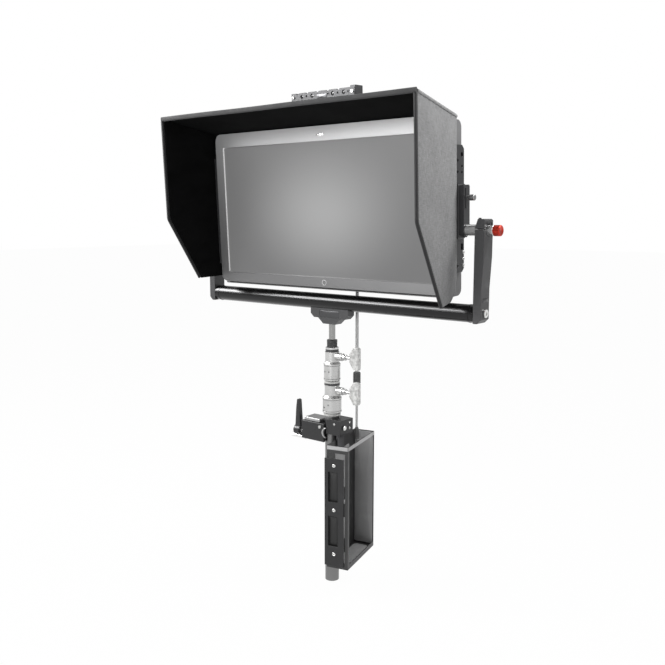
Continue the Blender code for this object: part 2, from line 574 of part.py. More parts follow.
rear_y = BEZEL_FRONT + BEZEL_DEPTH + GAP
inset = 0.0003
corner = [(rear_y, REAR_LOW)]
for mid, start in ((REAR_LOW + REAR_CORNER, -90), (REAR_HIGH - REAR_CORNER, 0)):
    for i in range(11):
        a = math.radians(start + 9 * i)
        corner.append((REAR_BACK - REAR_CORNER + REAR_CORNER * math.cos(a), mid + REAR_CORNER * math.sin(a)))
corner.append((rear_y, REAR_HIGH))
rear = prism("rear_housing", "X", corner, -BEZEL_HALF_X + inset, BEZEL_HALF_X - inset, "housing", ROCK)
hollow = prism("rear_hollow", "X", [(rear_y - 0.01, REAR_LOW + SHELL_T), (REAR_BACK - REAR_CORNER, REAR_LOW + SHELL_T),
                (REAR_BACK - SHELL_T, REAR_LOW + REAR_CORNER), (REAR_BACK - SHELL_T, REAR_HIGH - REAR_CORNER),
                (REAR_BACK - REAR_CORNER, REAR_HIGH - SHELL_T), (rear_y - 0.01, REAR_HIGH - SHELL_T)],
               -BEZEL_HALF_X + 0.0120, BEZEL_HALF_X - 0.0120, None, ROCK)
broken(rear, 0.0080, 3, 60.0)
cut(rear, hollow)
hump = block("rear_hump", (-HUMP_HALF_X, HUMP_HALF_X), (REAR_BACK - 0.0015, HUMP_BACK), (HUMP_LOW, HUMP_HIGH), None, ROCK,
             edge=0.0)
add(rear, hump)

# Hood: three stiff padded panels with bound front edges
SLOPE_X = (HOOD_HALF_FRONT - HOOD_HALF_BACK) / (HOOD_BACK - HOOD_FRONT)
SLOPE_Z = (HOOD_Z_FRONT - HOOD_Z_BACK) / (HOOD_BACK - HOOD_FRONT)


def hood_x(y):
    """Outer face of a side panel at a depth."""
    return HOOD_HALF_BACK + SLOPE_X * (HOOD_BACK - y)


def hood_z(y):
    """Outer face of the top panel at a depth."""
    return HOOD_Z_BACK + SLOPE_Z * (HOOD_BACK - y)


def panel(name, side, outline, look, thick=HOOD_T, out=0.0):
    """A side panel from its outline in depth and height."""
    pts = [(side * (hood_x(y) + out), y, z) for y, z in outline]
    verts, faces = extruded(pts, (-side * (thick + 2 * out), 0, 0))
    return solid(name, verts, faces, look, ROCK, edge=0.0012)


ROOF = HOOD_T + GAP
LEFT_KINK, RIGHT_KINK = 0.0300, 0.0260
LEFT_TIP = (-0.1130, -0.1240)
RIGHT_TIP = (-0.0925, -0.1560)
FRONT = HOOD_FRONT + HEM + GAP


def slanted(y_front, kink, tip, away):
    """Where the slanted lower front edge runs, moved back by a distance along its normal."""
    d = Vector((tip[0] - y_front, tip[1] - kink)).normalized()
    n = Vector((-d.y, d.x)) * away
    top = Vector((y_front, kink)) + n
    low = Vector(tip) + n
    shift = (y_front + away - top.x) / d.x
    return (top + d * shift), low


right_top, right_low = slanted(HOOD_FRONT, RIGHT_KINK, RIGHT_TIP, HEM + GAP)
left_top, left_low = slanted(HOOD_FRONT, LEFT_KINK, LEFT_TIP, HEM + GAP)
right_back = [(HOOD_BACK, hood_z(HOOD_BACK) - ROOF - 0.012), (HOOD_BACK, -0.1000), (-0.0240, -0.1280), (-0.0440, -0.1480),
              (right_low.x, right_low.y)]
panel("hood_right", 1, [(FRONT, hood_z(FRONT) - ROOF), (HOOD_BACK - 0.0170, hood_z(HOOD_BACK - 0.017) - ROOF)] + right_back +
      [(right_top.x, right_top.y)], "cloth")
panel("hood_left", -1, [(FRONT, hood_z(FRONT) - ROOF), (HOOD_BACK - 0.0170, hood_z(HOOD_BACK - 0.017) - ROOF),
      (HOOD_BACK, hood_z(HOOD_BACK) - ROOF - 0.012), (HOOD_BACK, -0.1230), (left_low.x, left_low.y),
      (left_top.x, left_top.y)], "cloth")
for side, word, kink, tip, inner_top, inner_low in ((1, "right", RIGHT_KINK, RIGHT_TIP, right_top, right_low),
                                                    (-1, "left", LEFT_KINK, LEFT_TIP, left_top, left_low)):
    g = Vector((tip[0] - HOOD_FRONT, tip[1] - kink)).normalized()
    n = Vector((-g.y, g.x)) * -GAP
    inner = [(inner_low + n), (inner_top.x - GAP, inner_top.y)]
    panel(f"hood_binding_{word}", side, [(HOOD_FRONT, hood_z(HOOD_FRONT) - ROOF), (FRONT - GAP, hood_z(FRONT) - ROOF),
          (FRONT - GAP, inner_top.y), (inner[0].x, inner[0].y), tip, (HOOD_FRONT, kink)], "binding", out=0.0004)


def roof(name, y0, y1, look, out=0.0):
    """A strip of the top panel between two depths."""
    pts = [(-hood_x(y0) - out, y0, hood_z(y0) + out), (hood_x(y0) + out, y0, hood_z(y0) + out),
           (hood_x(y1) + out, y1, hood_z(y1) + out), (-hood_x(y1) - out, y1, hood_z(y1) + out)]
    verts, faces = extruded(pts, (0, 0, -HOOD_T - 2 * out if out else -HOOD_T))
    return solid(name, verts, faces, look, ROCK, edge=0.0012)


roof("hood_top", FRONT, HOOD_BACK, "cloth")
front_hem = roof("hood_hem_top", HOOD_FRONT, FRONT - GAP, "cloth")

# Handle above the monitor
front_plate = block("handle_front", (HANDLE_LEFT, HANDLE_RIGHT), (HANDLE_FRONT, HANDLE_FRONT + PLATE_T),
                    (HANDLE_LOW, HANDLE_HIGH), "anodised", ROCK, edge=0.0)
for n, (hx, hr) in enumerate(((-0.0690, 0.0050), (-0.0380, 0.0050), (0.0237, 0.0050), (0.0558, 0.0050), (-0.0549, 0.0026),
                              (0.0384, 0.0026), (0.0105, 0.0026), (0.0690, 0.0026))):
    cut(front_plate, rod(f"handle_hole_{n}", "Y", (hx, 0, BAR_Z), hr, HANDLE_FRONT - 0.01, HANDLE_FRONT + PLATE_T + 0.01,
                         None, ROCK, steps=14))
for n, sx in enumerate((-0.0825, -0.0535, -0.0225, 0.0085, 0.0395)):
    cut(front_plate, rod(f"handle_scallop_{n}", "Y", (sx, 0, HANDLE_HIGH + 0.0030), 0.0060, HANDLE_FRONT - 0.01,
                         HANDLE_FRONT + PLATE_T + 0.01, None, ROCK, steps=14))
MID_FRONT = HANDLE_FRONT + PLATE_T + GAP
for word, across, top in (("right", (HANDLE_RIGHT - HANDLE_BLOCK, HANDLE_RIGHT), HANDLE_HIGH + 0.0045),
                          ("left", (HANDLE_LEFT, HANDLE_LEFT + HANDLE_BLOCK), HANDLE_HIGH)):
    block(f"handle_end_{word}", across, (MID_FRONT, HANDLE_BACK), (REAR_HIGH + GAP, top), "anodised", ROCK, edge=0.0007)
rod("handle_bar", "X", (0, BAR_Y, BAR_Z), BAR_R, HANDLE_LEFT + HANDLE_BLOCK + GAP, HANDLE_RIGHT - HANDLE_BLOCK - GAP,
    "chrome", ROCK, steps=40)

# Holder box beside the column, and its front plate
hx, hy = BOX_W / 2, BOX_L / 2
box = block("holder_box", (-hx, hx), (-hy, hy), (BOX_FOOT, BOX_TOP), "sheet", BOX, edge=0.0)
t = BOX_T
cut(box, block("holder_inside", (-hx + t, hx - t), (-hy + t, hy - t), (BOX_FOOT + t, BOX_TOP + 0.01), None, BOX, edge=0.0))
cut(box, block("holder_side", (hx - 0.01, hx + 0.01), (-hy + 0.008, hy - 0.002), (BOX_FOOT + 0.012, BOX_TOP - 0.010), None,
               BOX, edge=0.0))
for word, heights in (("upper", BOX_OPEN_HIGH), ("lower", BOX_OPEN_LOW)):
    cut(box, block(f"holder_front_{word}", (-hx + BOX_OPEN_LEFT, hx - BOX_OPEN_RIGHT), (-hy - 0.01, -hy + 0.01), heights, None, BOX,
                   edge=0.0))
plate_y = (-hy - GAP - FACE_T, -hy - GAP)
plate = block("holder_plate", (FACE_LEFT, FACE_RIGHT), plate_y, (FACE_FOOT, FACE_TOP), "sheet", BOX, edge=0.0004)
for n, heights in enumerate(FACE_WINDOWS):
    cut(plate, prism(f"plate_window_{n}", "Y", rounded(FACE_WINDOW, heights, 0.0020, 4), plate_y[0] - 0.01,
                     plate_y[1] + 0.01, None, BOX))
block("holder_hanger", (-hx + t + GAP, -hx + t + GAP + 0.0040), (-0.0320, 0.0060), (HANGER_FOOT, JAW_FOOT - GAP), "anodised", BOX)

# Clamp: fixed jaw, sliding jaw, screw, lever and the small release lever
fixed = block("clamp_fixed_jaw", (0.0010, JAW_OUT), (-CLAMP_HALF_Y, CLAMP_HALF_Y - 0.001), (JAW_FOOT, JAW_TOP), "black",
              edge=0.0012)
grip = COLUMN_R + GAP
cut(fixed, prism("fixed_vee", "Z", [(-0.03, -grip - 0.0060), (0.0010, -grip - 0.0060), (grip, -0.0100), (grip, 0.0100),
                 (0.0010, grip + 0.0060), (-0.03, grip + 0.0060)], JAW_FOOT - 0.01, JAW_TOP + 0.01, None))
sliding = block("clamp_sliding_jaw", (LEFT_OUT, -0.0060), (-CLAMP_HALF_Y, CLAMP_HALF_Y - 0.004), (LEFT_FOOT, LEFT_TOP), "black",
                edge=0.0012)
cut(sliding, prism("sliding_vee", "Z", [(0.03, -grip - 0.0070), (-0.0050, -grip - 0.0020), (-grip, -0.0100),
                   (-grip, 0.0100), (-0.0050, grip + 0.0020), (0.03, grip + 0.0070)], LEFT_FOOT - 0.01, LEFT_TOP + 0.01, None))
block("clamp_top_plate", (-0.0720, -0.0230), (-0.0215, 0.0185), (LEFT_TOP + GAP, LEFT_TOP + 0.0085), "grey", edge=0.0010)
rod("clamp_bolt", "X", (0, -0.0120, LEFT_TOP - 0.0040), 0.0060, JAW_OUT + GAP, JAW_OUT + 0.0045, "chrome", steps=32, chamfer=0.0012)
rod("clamp_screw", "X", (0, -0.0050, SCREW_Z), 0.0060, -0.1160, LEFT_OUT - GAP, "steel", steps=36)
rod("clamp_guide", "X", (0, -0.0050, SCREW_Z - 0.0165), 0.0052, -0.1280, LEFT_OUT - GAP, "steel", steps=32, chamfer=0.0015)
lever = turned("clamp_lever", "X", (0, -0.0050, SCREW_Z), [(0.0130, LEVER_X - 0.0085), (0.0130, LEVER_X + 0.0085)], "black",
               steps=40)
blade = prism("lever_blade", "Y", [(LEVER_X - 0.0085, SCREW_Z - 0.004), (LEVER_X + 0.0090, SCREW_Z - 0.004),
              (LEVER_X + 0.0080, SCREW_Z + 0.020), (LEVER_X + 0.0040, SCREW_Z + 0.078), (LEVER_X - 0.0012, SCREW_Z + 0.0795),
              (LEVER_X - 0.0040, SCREW_Z + 0.060)], -0.0110, 0.0010, None)
add(lever, blade)
cut(lever, rod("lever_bore", "X", (0, -0.0050, SCREW_Z), 0.0060 + GAP, LEVER_X - 0.0255, LEVER_X + 0.0245, None, steps=36))
cut(lever, rod("lever_clear", "X", (0, -0.0050, SCREW_Z - 0.0165), 0.0052 + 0.0006, LEVER_X - 0.0255,
              LEVER_X + 0.0245, None, steps=36))
release = []
for i in range(9):
    a = math.radians(-50 + 100 * i / 8)
    release.append((0.0160 - 0.0250 * math.cos(a), 0.3880 + 0.0165 * math.sin(a)))
inner = [(x + 0.0055, z) for x, z in reversed(release)]
prism("release_lever", "Y", release + inner, -CLAMP_HALF_Y - 0.0060, -CLAMP_HALF_Y - GAP, "grey", edge=0.0010)

# Power cable from the monitor's underside to the holder
CABLE_TOP = SHAFT_Z + HUMP_LOW + 0.0014
COUPLING_LOW, COUPLING_HIGH, PLUG_TOP = 0.4930, 0.5355, 0.3965
rod("cable_upper", "Z", (CABLE_X, CABLE_Y, 0), CABLE_R, COUPLING_HIGH + GAP, CABLE_TOP, "rubber", steps=14)
turned("cable_coupling", "Z", (CABLE_X, CABLE_Y, 0), [(0.0050, COUPLING_LOW), (0.0080, COUPLING_LOW + 0.0120),
       (0.0092, COUPLING_LOW + 0.0155), (0.0092, COUPLING_HIGH - 0.0025), (0.0078, COUPLING_HIGH)], "rubber", steps=32)
rod("cable_lower", "Z", (CABLE_X, CABLE_Y, 0), CABLE_LOW_R, PLUG_TOP + GAP, COUPLING_LOW - GAP, "rubber", steps=14)
turned("cable_plug", "Z", (CABLE_X, CABLE_Y, 0), [(0.0058, PLUG_TOP - 0.0300), (0.0062, PLUG_TOP - 0.0200),
       (0.0056, PLUG_TOP - 0.0060), (0.0036, PLUG_TOP)], "rubber", steps=28)
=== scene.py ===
"""Monitor mount for a film set, dressed for its picture.

A column with two sliding risers carries a tube yoke, and the yoke carries a monitor with a folding hood.
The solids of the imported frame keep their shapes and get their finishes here. The hood, the power cable,
and the small fasteners are made here as surfaces worked out on grids of points.
"""
import logging
import math
from dataclasses import dataclass
from enum import Enum
from typing import Sequence

import bmesh
import bpy
import numpy as np
from mathutils import Matrix, Vector


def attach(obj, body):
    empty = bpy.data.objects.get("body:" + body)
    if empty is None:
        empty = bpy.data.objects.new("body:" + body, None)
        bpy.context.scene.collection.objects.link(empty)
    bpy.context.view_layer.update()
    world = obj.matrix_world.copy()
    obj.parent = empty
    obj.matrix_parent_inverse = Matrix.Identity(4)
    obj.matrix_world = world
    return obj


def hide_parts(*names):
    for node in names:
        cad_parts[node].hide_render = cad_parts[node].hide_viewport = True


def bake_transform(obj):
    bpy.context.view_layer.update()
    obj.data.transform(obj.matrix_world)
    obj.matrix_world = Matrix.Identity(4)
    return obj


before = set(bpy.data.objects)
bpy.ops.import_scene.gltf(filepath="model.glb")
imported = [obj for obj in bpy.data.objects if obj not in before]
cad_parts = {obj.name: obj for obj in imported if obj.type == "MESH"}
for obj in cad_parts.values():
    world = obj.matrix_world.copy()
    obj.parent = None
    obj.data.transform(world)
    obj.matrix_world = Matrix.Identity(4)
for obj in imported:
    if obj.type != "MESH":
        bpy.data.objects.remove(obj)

log = logging.getLogger("monitor_mount")
Colour = tuple[float, float, float]
Array = np.ndarray

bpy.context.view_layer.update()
SHAFT_Z = 0.885
TUBE_Z = 0.709
ROCK = Matrix.Translation((0, 0, SHAFT_Z)) @ Matrix.Rotation(math.radians(2.6), 4, "X")
HOLDER = Matrix.Translation((0.0478, 0.0157, 0)) @ Matrix.Rotation(math.radians(14), 4, "Z")
WORLD = Matrix.Identity(4)
FACING_FRONT = ((1, 0, 0), (0, 0, 1))
FACING_RIGHT = ((0, 1, 0), (0, 0, 1))
FACING_UP = ((1, 0, 0), (0, 1, 0))


class Axis(Enum):
    """Direction in which a turned piece stands."""

    X = (1.0, 0.0, 0.0)
    Y = (0.0, 1.0, 0.0)
    Z = (0.0, 0.0, 1.0)
    LEFT = (-1.0, 0.0, 0.0)
    FRONT = (0.0, -1.0, 0.0)


class Grain(Enum):
    """Way in which the marks of a metal or a coat run, as stretches of the noise along X, Y and Z."""

    EVEN = (1.0, 1.0, 1.0)
    ALONG_X = (0.04, 1.0, 1.0)
    ALONG_Z = (1.0, 1.0, 0.04)
    AROUND_Z = (0.03, 0.03, 1.0)
    AROUND_X = (1.0, 0.03, 0.03)


# Shader maths


class Value:
    """A shader socket that takes part in arithmetic, each step of which adds a Math node."""

    def __init__(self, tree: "Tree", socket: bpy.types.NodeSocket) -> None:
        """Wraps a socket of a tree."""
        self.tree = tree
        self.socket = socket

    def maths(self, operation: str, *others: "Value | float") -> "Value":
        """Adds one Math node.

        Args:
            operation: Name of the operation.
            others: Further operands after this one.

        Returns:
            The result.
        """
        return self.tree.node("ShaderNodeMath", {"operation": operation}, dict(enumerate((self, *others))))

    def __add__(self, other: "Value | float") -> "Value":
        """Sum."""
        return self.maths("ADD", other)

    __radd__ = __add__

    def __mul__(self, other: "Value | float") -> "Value":
        """Product."""
        return self.maths("MULTIPLY", other)

    __rmul__ = __mul__

    def __sub__(self, other: "Value | float") -> "Value":
        """Difference."""
        return self.maths("SUBTRACT", other)

    def __rsub__(self, other: float) -> "Value":
        """Difference from a number."""
        return self * -1.0 + other

    def __truediv__(self, other: "Value | float") -> "Value":
        """Quotient."""
        return self.maths("DIVIDE", other)

    def __pow__(self, other: "Value | float") -> "Value":
        """Power."""
        return self.maths("POWER", other)

    def step(self, low: float, high: float) -> "Value":
        """Smooth step from 0 at low to 1 at high."""
        return self.tree.node(
            "ShaderNodeMapRange",
            {"interpolation_type": "SMOOTHSTEP"},
            {"Value": self, "From Min": low, "From Max": high, "To Min": 0.0, "To Max": 1.0},
        )


class Tree:
    """The node tree of one material."""

    def __init__(self, name: str) -> None:
        """Starts an empty material of that name."""
        self.material = bpy.data.materials.new(name)
        self.material.use_nodes = True
        self.nodes = self.material.node_tree.nodes
        self.links = self.material.node_tree.links
        self.nodes.clear()

    def node(
        self,
        kind: str,
        settings: dict | None = None,
        sockets: dict | None = None,
        output: int | str = 0,
    ) -> Value:
        """Adds a node.

        Args:
            kind: Type of the node.
            settings: Its own settings, set first. "stops" is a ramp's list of place and grey or colour.
            sockets: Values or links of its inputs, by name or number.
            output: Name or number of the output that is wanted.

        Returns:
            That output.
        """
        made = self.nodes.new(kind)
        for key, value in (settings or {}).items():
            if key == "stops":
                self.fill_ramp(made.color_ramp, value)
            else:
                setattr(made, key, value)
        for key, value in (sockets or {}).items():
            if isinstance(value, Value):
                self.links.new(value.socket, made.inputs[key])
            else:
                made.inputs[key].default_value = value
        return Value(self, made.outputs[output]) if len(made.outputs) else Value(self, made.inputs[0])

    @staticmethod
    def fill_ramp(ramp: bpy.types.ColorRamp, stops: Sequence[tuple[float, float]]) -> None:
        """Gives a ramp its stops, each a place and a grey."""
        while len(ramp.elements) < len(stops):
            ramp.elements.new(0.5)
        for element, (place, grey) in zip(ramp.elements, stops):
            element.position = place
            element.color = (grey, grey, grey, 1.0)

    def place(
        self, scale: Sequence[float] = (1, 1, 1), shift: Sequence[float] = (0, 0, 0), source: str = "Object"
    ) -> Value:
        """Coordinates on the piece.

        Args:
            scale: Stretch along each axis.
            shift: Move before the stretch is used.
            source: "Object" for metres in the object, "UV" for metres along the cloth.

        Returns:
            The vector.
        """
        at = self.node("ShaderNodeTexCoord", output=source)
        return self.node(
            "ShaderNodeMapping",
            {"vector_type": "POINT"},
            {"Vector": at, "Scale": tuple(scale), "Location": tuple(shift)},
        )

    def noise(self, where: Value, scale: float, detail: float = 3.0, rough: float = 0.55) -> Value:
        """Soft noise from 0 to 1 with a number of waves to the metre."""
        return self.node(
            "ShaderNodeTexNoise", {}, {"Vector": where, "Scale": scale, "Detail": detail, "Roughness": rough}
        )

    def cells(self, where: Value, scale: float) -> Value:
        """Distance to the nearest of scattered points."""
        return self.node("ShaderNodeTexVoronoi", {}, {"Vector": where, "Scale": scale})

    def part(self, where: Value, axis: str) -> Value:
        """One number of a vector, X, Y or Z."""
        return self.node("ShaderNodeSeparateXYZ", {}, {"Vector": where}, output=axis)

    def mix(self, share: Value | float, first: "Value | Colour", second: "Value | Colour") -> Value:
        """Colour between two others.

        Args:
            share: 0 gives the first, 1 the second.
            first: Colour or link.
            second: Colour or link.

        Returns:
            The mixed colour.
        """
        ends = {6: first, 7: second}
        return self.node(
            "ShaderNodeMix",
            {"data_type": "RGBA"},
            {0: share} | {k: v if isinstance(v, Value) else (*v, 1.0) for k, v in ends.items()},
            output=2,
        )

    def bump(self, height: Value, depth: float, strength: float = 1.0) -> Value:
        """Normal bent by a height map of that depth in metres."""
        return self.node("ShaderNodeBump", {}, {"Height": height, "Distance": depth, "Strength": strength})

    def finish(self, sockets: dict) -> bpy.types.Material:
        """Ends the tree in one Principled shader.

        Args:
            sockets: Values or links of the shader's inputs.

        Returns:
            The material.
        """
        shader = self.node("ShaderNodeBsdfPrincipled", {}, sockets)
        self.node("ShaderNodeOutputMaterial", {}, {"Surface": shader})
        return self.material


def shade(colour: Colour, by: float) -> Colour:
    """A colour made lighter or darker by a factor."""
    return tuple(min(1.0, c * by) for c in colour)


# Finishes


@dataclass(frozen=True)
class Metal:
    """Bare or plated metal with fine tool marks, handling smudges and a few scratches."""

    name: str
    colour: Colour
    roughness: float = 0.3
    grain: Grain = Grain.EVEN
    fine: float = 900.0
    marks: float = 0.12
    depth: float = 0.00002
    smudge: float = 0.10
    coat: float = 0.0

    def build(self) -> bpy.types.Material:
        """Colour and roughness follow fine marks along the grain, wide smudges and thin scratches."""
        t = Tree(self.name)
        lines = t.noise(t.place(self.grain.value), self.fine, 4.0, 0.6)
        wide = t.noise(t.place(), 14.0, 3.0)
        scratch = t.noise(t.place((1.0, 6.0, 1.0)), 130.0, 2.0).step(0.70, 0.76)
        tone = (lines - 0.5) * 0.35 + (wide - 0.5) * 0.25 + 0.5
        colour = t.mix(tone, shade(self.colour, 0.80), shade(self.colour, 1.20))
        rough = (lines - 0.5) * self.marks + (wide - 0.5) * self.smudge * 2 + scratch * 0.10 + self.roughness
        return t.finish(
            {
                "Base Color": colour,
                "Metallic": 1.0,
                "Roughness": rough,
                "Coat Weight": self.coat,
                "Normal": t.bump(lines - scratch * 0.5, self.depth),
            }
        )


@dataclass(frozen=True)
class PowderCoat:
    """Baked powder on metal: a fine orange peel, a slight speckle and dull rubbed places."""

    name: str
    colour: Colour
    roughness: float = 0.45
    peel: float = 1400.0
    depth: float = 0.00005
    rub: float = 0.35
    metallic: float = 0.0
    gloss: float = 0.5
    coat: float = 0.0

    def build(self) -> bpy.types.Material:
        """Bump from two sizes of noise, colour from a speckle and from rubbed places."""
        t = Tree(self.name)
        fine = t.noise(t.place(), self.peel, 2.0)
        wide = t.noise(t.place(shift=(0.3, 0.1, 0.7)), 22.0, 4.0)
        rubbed = wide.step(0.55, 0.72)
        specks = t.cells(t.place(), self.peel * 0.6).step(0.10, 0.35)
        tone = t.mix(specks * 0.4 + fine * 0.4, shade(self.colour, 1.35), shade(self.colour, 0.80))
        colour = t.mix(rubbed * self.rub, tone, shade(self.colour, 1.9))
        rough = (fine - 0.5) * 0.16 - rubbed * 0.08 + self.roughness
        return t.finish(
            {
                "Base Color": colour,
                "Metallic": self.metallic,
                "Roughness": rough,
                "Specular IOR Level": self.gloss,
                "Coat Weight": self.coat,
                "Coat Roughness": self.roughness,
                "Normal": t.bump(fine + wide * 0.3, self.depth),
            }
        )


@dataclass(frozen=True)
class Plastic:
    """Moulded plastic with a spark-eroded grain and faint flow clouds."""

    name: str
    colour: Colour
    roughness: float = 0.42
    grain: float = 2600.0
    depth: float = 0.00003
    coat: float = 0.0
    gloss: float = 0.5
    wax: float = 0.0

    def build(self) -> bpy.types.Material:
        """A fine cell grain gives the bump, wide clouds change colour and roughness."""
        t = Tree(self.name)
        cells = t.cells(t.place(), self.grain)
        fine = t.noise(t.place(), self.grain * 0.4, 3.0)
        cloud = t.noise(t.place(shift=(0.9, 0.4, 0.2)), 9.0, 4.0)
        tone = (cloud - 0.5) * 0.9 + (fine - 0.5) * 0.5 + 0.5
        colour = t.mix(tone, shade(self.colour, 0.86), shade(self.colour, 1.14))
        rough = (fine - 0.5) * 0.14 + (cloud - 0.5) * 0.16 + self.roughness
        return t.finish(
            {
                "Base Color": colour,
                "Roughness": rough,
                "Coat Weight": self.coat,
                "Coat Roughness": 0.2,
                "Specular IOR Level": self.gloss,
                "Subsurface Weight": self.wax,
                "Subsurface Radius": (0.004, 0.004, 0.004),
                "Normal": t.bump(cells * 0.6 + fine, self.depth),
            }
        )


@dataclass(frozen=True)
class WovenCloth:
    """Coated heather cloth on a board, with its plain weave in the piece's own UV map in metres."""

    name: str
    colour: Colour
    threads: float = 1500.0
    roughness: float = 0.72
    depth: float = 0.00014
    mottle: float = 0.34

    def build(self) -> bpy.types.Material:
        """Weave height is sin(ku)·sin(kv), crossed with thread noise that runs along u and along v."""
        t = Tree(self.name)
        at = t.place(source="UV")
        u, v = t.part(at, "X"), t.part(at, "Y")
        weave = (u * self.threads).maths("SINE") * (v * self.threads).maths("SINE")
        warp = t.noise(t.place((1.0, 0.10, 1.0), source="UV"), 700.0, 2.0)
        weft = t.noise(t.place((0.10, 1.0, 1.0), (0.3, 0.2, 0), source="UV"), 700.0, 2.0)
        cloud = t.noise(t.place((1.0, 1.0, 0.45)), 34.0, 5.0, 0.62)
        blot = t.noise(t.place((1.0, 1.0, 0.7), (0.2, 0.5, 0.1)), 190.0, 3.0)
        yarn = (warp + weft - 1.0) * 0.9 + weave * 0.10
        heather = yarn + (cloud - 0.5) * self.mottle * 2 + (blot - 0.5) * 0.7 + 0.5
        colour = t.mix(heather, shade(self.colour, 0.62), shade(self.colour, 1.42))
        return t.finish(
            {
                "Base Color": colour,
                "Roughness": (cloud - 0.5) * 0.3 + self.roughness,
                "Sheen Weight": 0.25,
                "Sheen Roughness": 0.45,
                "Specular IOR Level": 0.3,
                "Normal": t.bump(weave * 0.5 + warp + weft + blot * 1.5, self.depth),
            }
        )


@dataclass(frozen=True)
class Velvet:
    """Black flocked lining: no gloss, a soft nap that is brushed one way in places."""

    name: str
    colour: Colour = (0.0020, 0.0020, 0.0021)
    roughness: float = 0.95

    def build(self) -> bpy.types.Material:
        """Nap from fine noise, brushed places from wide noise."""
        t = Tree(self.name)
        nap = t.noise(t.place(), 1800.0, 2.0)
        brushed = t.noise(t.place((1.0, 1.0, 2.2)), 18.0, 4.0)
        tone = (nap - 0.5) * 0.8 + (brushed - 0.5) * 1.6 + 0.5
        colour = t.mix(tone, shade(self.colour, 0.45), shade(self.colour, 2.2))
        return t.finish(
            {
                "Base Color": colour,
                "Roughness": (nap - 0.5) * 0.1 + self.roughness,
                "Specular IOR Level": 0.08,
                "Sheen Weight": 0.0,
                "Normal": t.bump(nap + brushed * 2.0, 0.00020),
            }
        )


@dataclass(frozen=True)
class Tape:
    """Woven tape or thread, with ribs across its length in the piece's own UV map in metres."""

    name: str
    colour: Colour
    ribs: float = 3600.0
    roughness: float = 0.62

    def build(self) -> bpy.types.Material:
        """Rib height is sin(kv), and thread noise runs along the tape."""
        t = Tree(self.name)
        v = t.part(t.place(source="UV"), "Y")
        ribs = (v * self.ribs).maths("SINE")
        thread = t.noise(t.place((1.0, 0.2, 1.0), source="UV"), 1600.0, 2.0)
        worn = t.noise(t.place(), 60.0, 3.0)
        tone = ribs * 0.15 + (thread - 0.5) * 0.8 + (worn - 0.5) + 0.5
        colour = t.mix(tone, shade(self.colour, 0.6), shade(self.colour, 1.7))
        return t.finish(
            {
                "Base Color": colour,
                "Roughness": (worn - 0.5) * 0.2 + self.roughness,
                "Sheen Weight": 0.12,
                "Specular IOR Level": 0.3,
                "Normal": t.bump(ribs * 0.5 + thread, 0.00016),
            }
        )


@dataclass(frozen=True)
class BezelPaintWithPaintedLight:
    """Satin metallic paint with a fine brushed flake, and painted light: its tone rises towards the upper right
    corner.
    """

    name: str
    # low and high are the painted shade and painted light ends of the bezel's gradient
    low: Colour = (0.175, 0.175, 0.177)
    high: Colour = (0.50, 0.50, 0.505)
    roughness: float = 0.40

    def build(self) -> bpy.types.Material:
        """Painted light: tone is 0.3·x + 0.7·z of the place on the bezel, each from 0 to 1, with flakes and
        clouds.
        """
        t = Tree(self.name)
        at = t.place()
        across = (t.part(at, "X") + 0.337) / 0.674
        up = (t.part(at, "Z") - (SHAFT_Z - 0.136)) / 0.373
        # painted light: the bezel is lighter towards its upper right, as if lit more there
        painted_light_rise = (across * 0.3 + up * 0.7).step(0.05, 1.0)
        flake = t.noise(t.place((0.25, 1.0, 1.0)), 2600.0, 2.0)
        cloud = t.noise(t.place(shift=(0.2, 0.6, 0.1)), 7.0, 3.0)
        colour = t.mix(painted_light_rise + (flake - 0.5) * 0.10 + (cloud - 0.5) * 0.06, self.low, self.high)
        return t.finish(
            {
                "Base Color": colour,
                "Metallic": 0.35,
                "Roughness": (flake - 0.5) * 0.12 + (cloud - 0.5) * 0.10 + self.roughness,
                "Normal": t.bump(flake, 0.000015),
            }
        )


@dataclass(frozen=True)
class PaintedGlowScreen:
    """Satin front film over a panel with a painted glow: one even grey, strongest a little right of its middle,
    in place of the soft reflection on the film.
    """

    name: str
    # edge and middle are the ends of the painted glow
    edge: Colour = (0.148, 0.148, 0.148)
    middle: Colour = (0.345, 0.345, 0.345)
    centre: tuple[float, float] = (0.012, -0.014)
    reach: tuple[float, float] = (0.300, 0.215)

    def build(self) -> bpy.types.Material:
        """Painted glow falls from the middle as a smooth step of the distance, each axis over its own reach."""
        t = Tree(self.name)
        at = t.place()
        x = (t.part(at, "X") - self.centre[0]) / self.reach[0]
        z = (t.part(at, "Z") - (SHAFT_Z + 0.0456 + self.centre[1])) / self.reach[1]
        far = (x * x + z * z) ** 0.5
        # painted glow: the emission stands in for the soft reflection on the screen's film
        glow = (1.0 - far.step(0.0, 1.05)) ** 1.25
        haze = t.noise(t.place(), 5.0, 3.0)
        film = t.noise(t.place(), 3200.0, 1.0)
        painted_glow_colour = t.mix(glow + (haze - 0.5) * 0.05, self.edge, self.middle)
        return t.finish(
            {
                "Base Color": (0.020, 0.020, 0.021, 1.0),
                "Roughness": (film - 0.5) * 0.06 + (haze - 0.5) * 0.08 + 0.36,
                "Specular IOR Level": 0.35,
                "Emission Color": painted_glow_colour,
                "Emission Strength": 1.0,
                "Normal": t.bump(film, 0.00001),
            }
        )


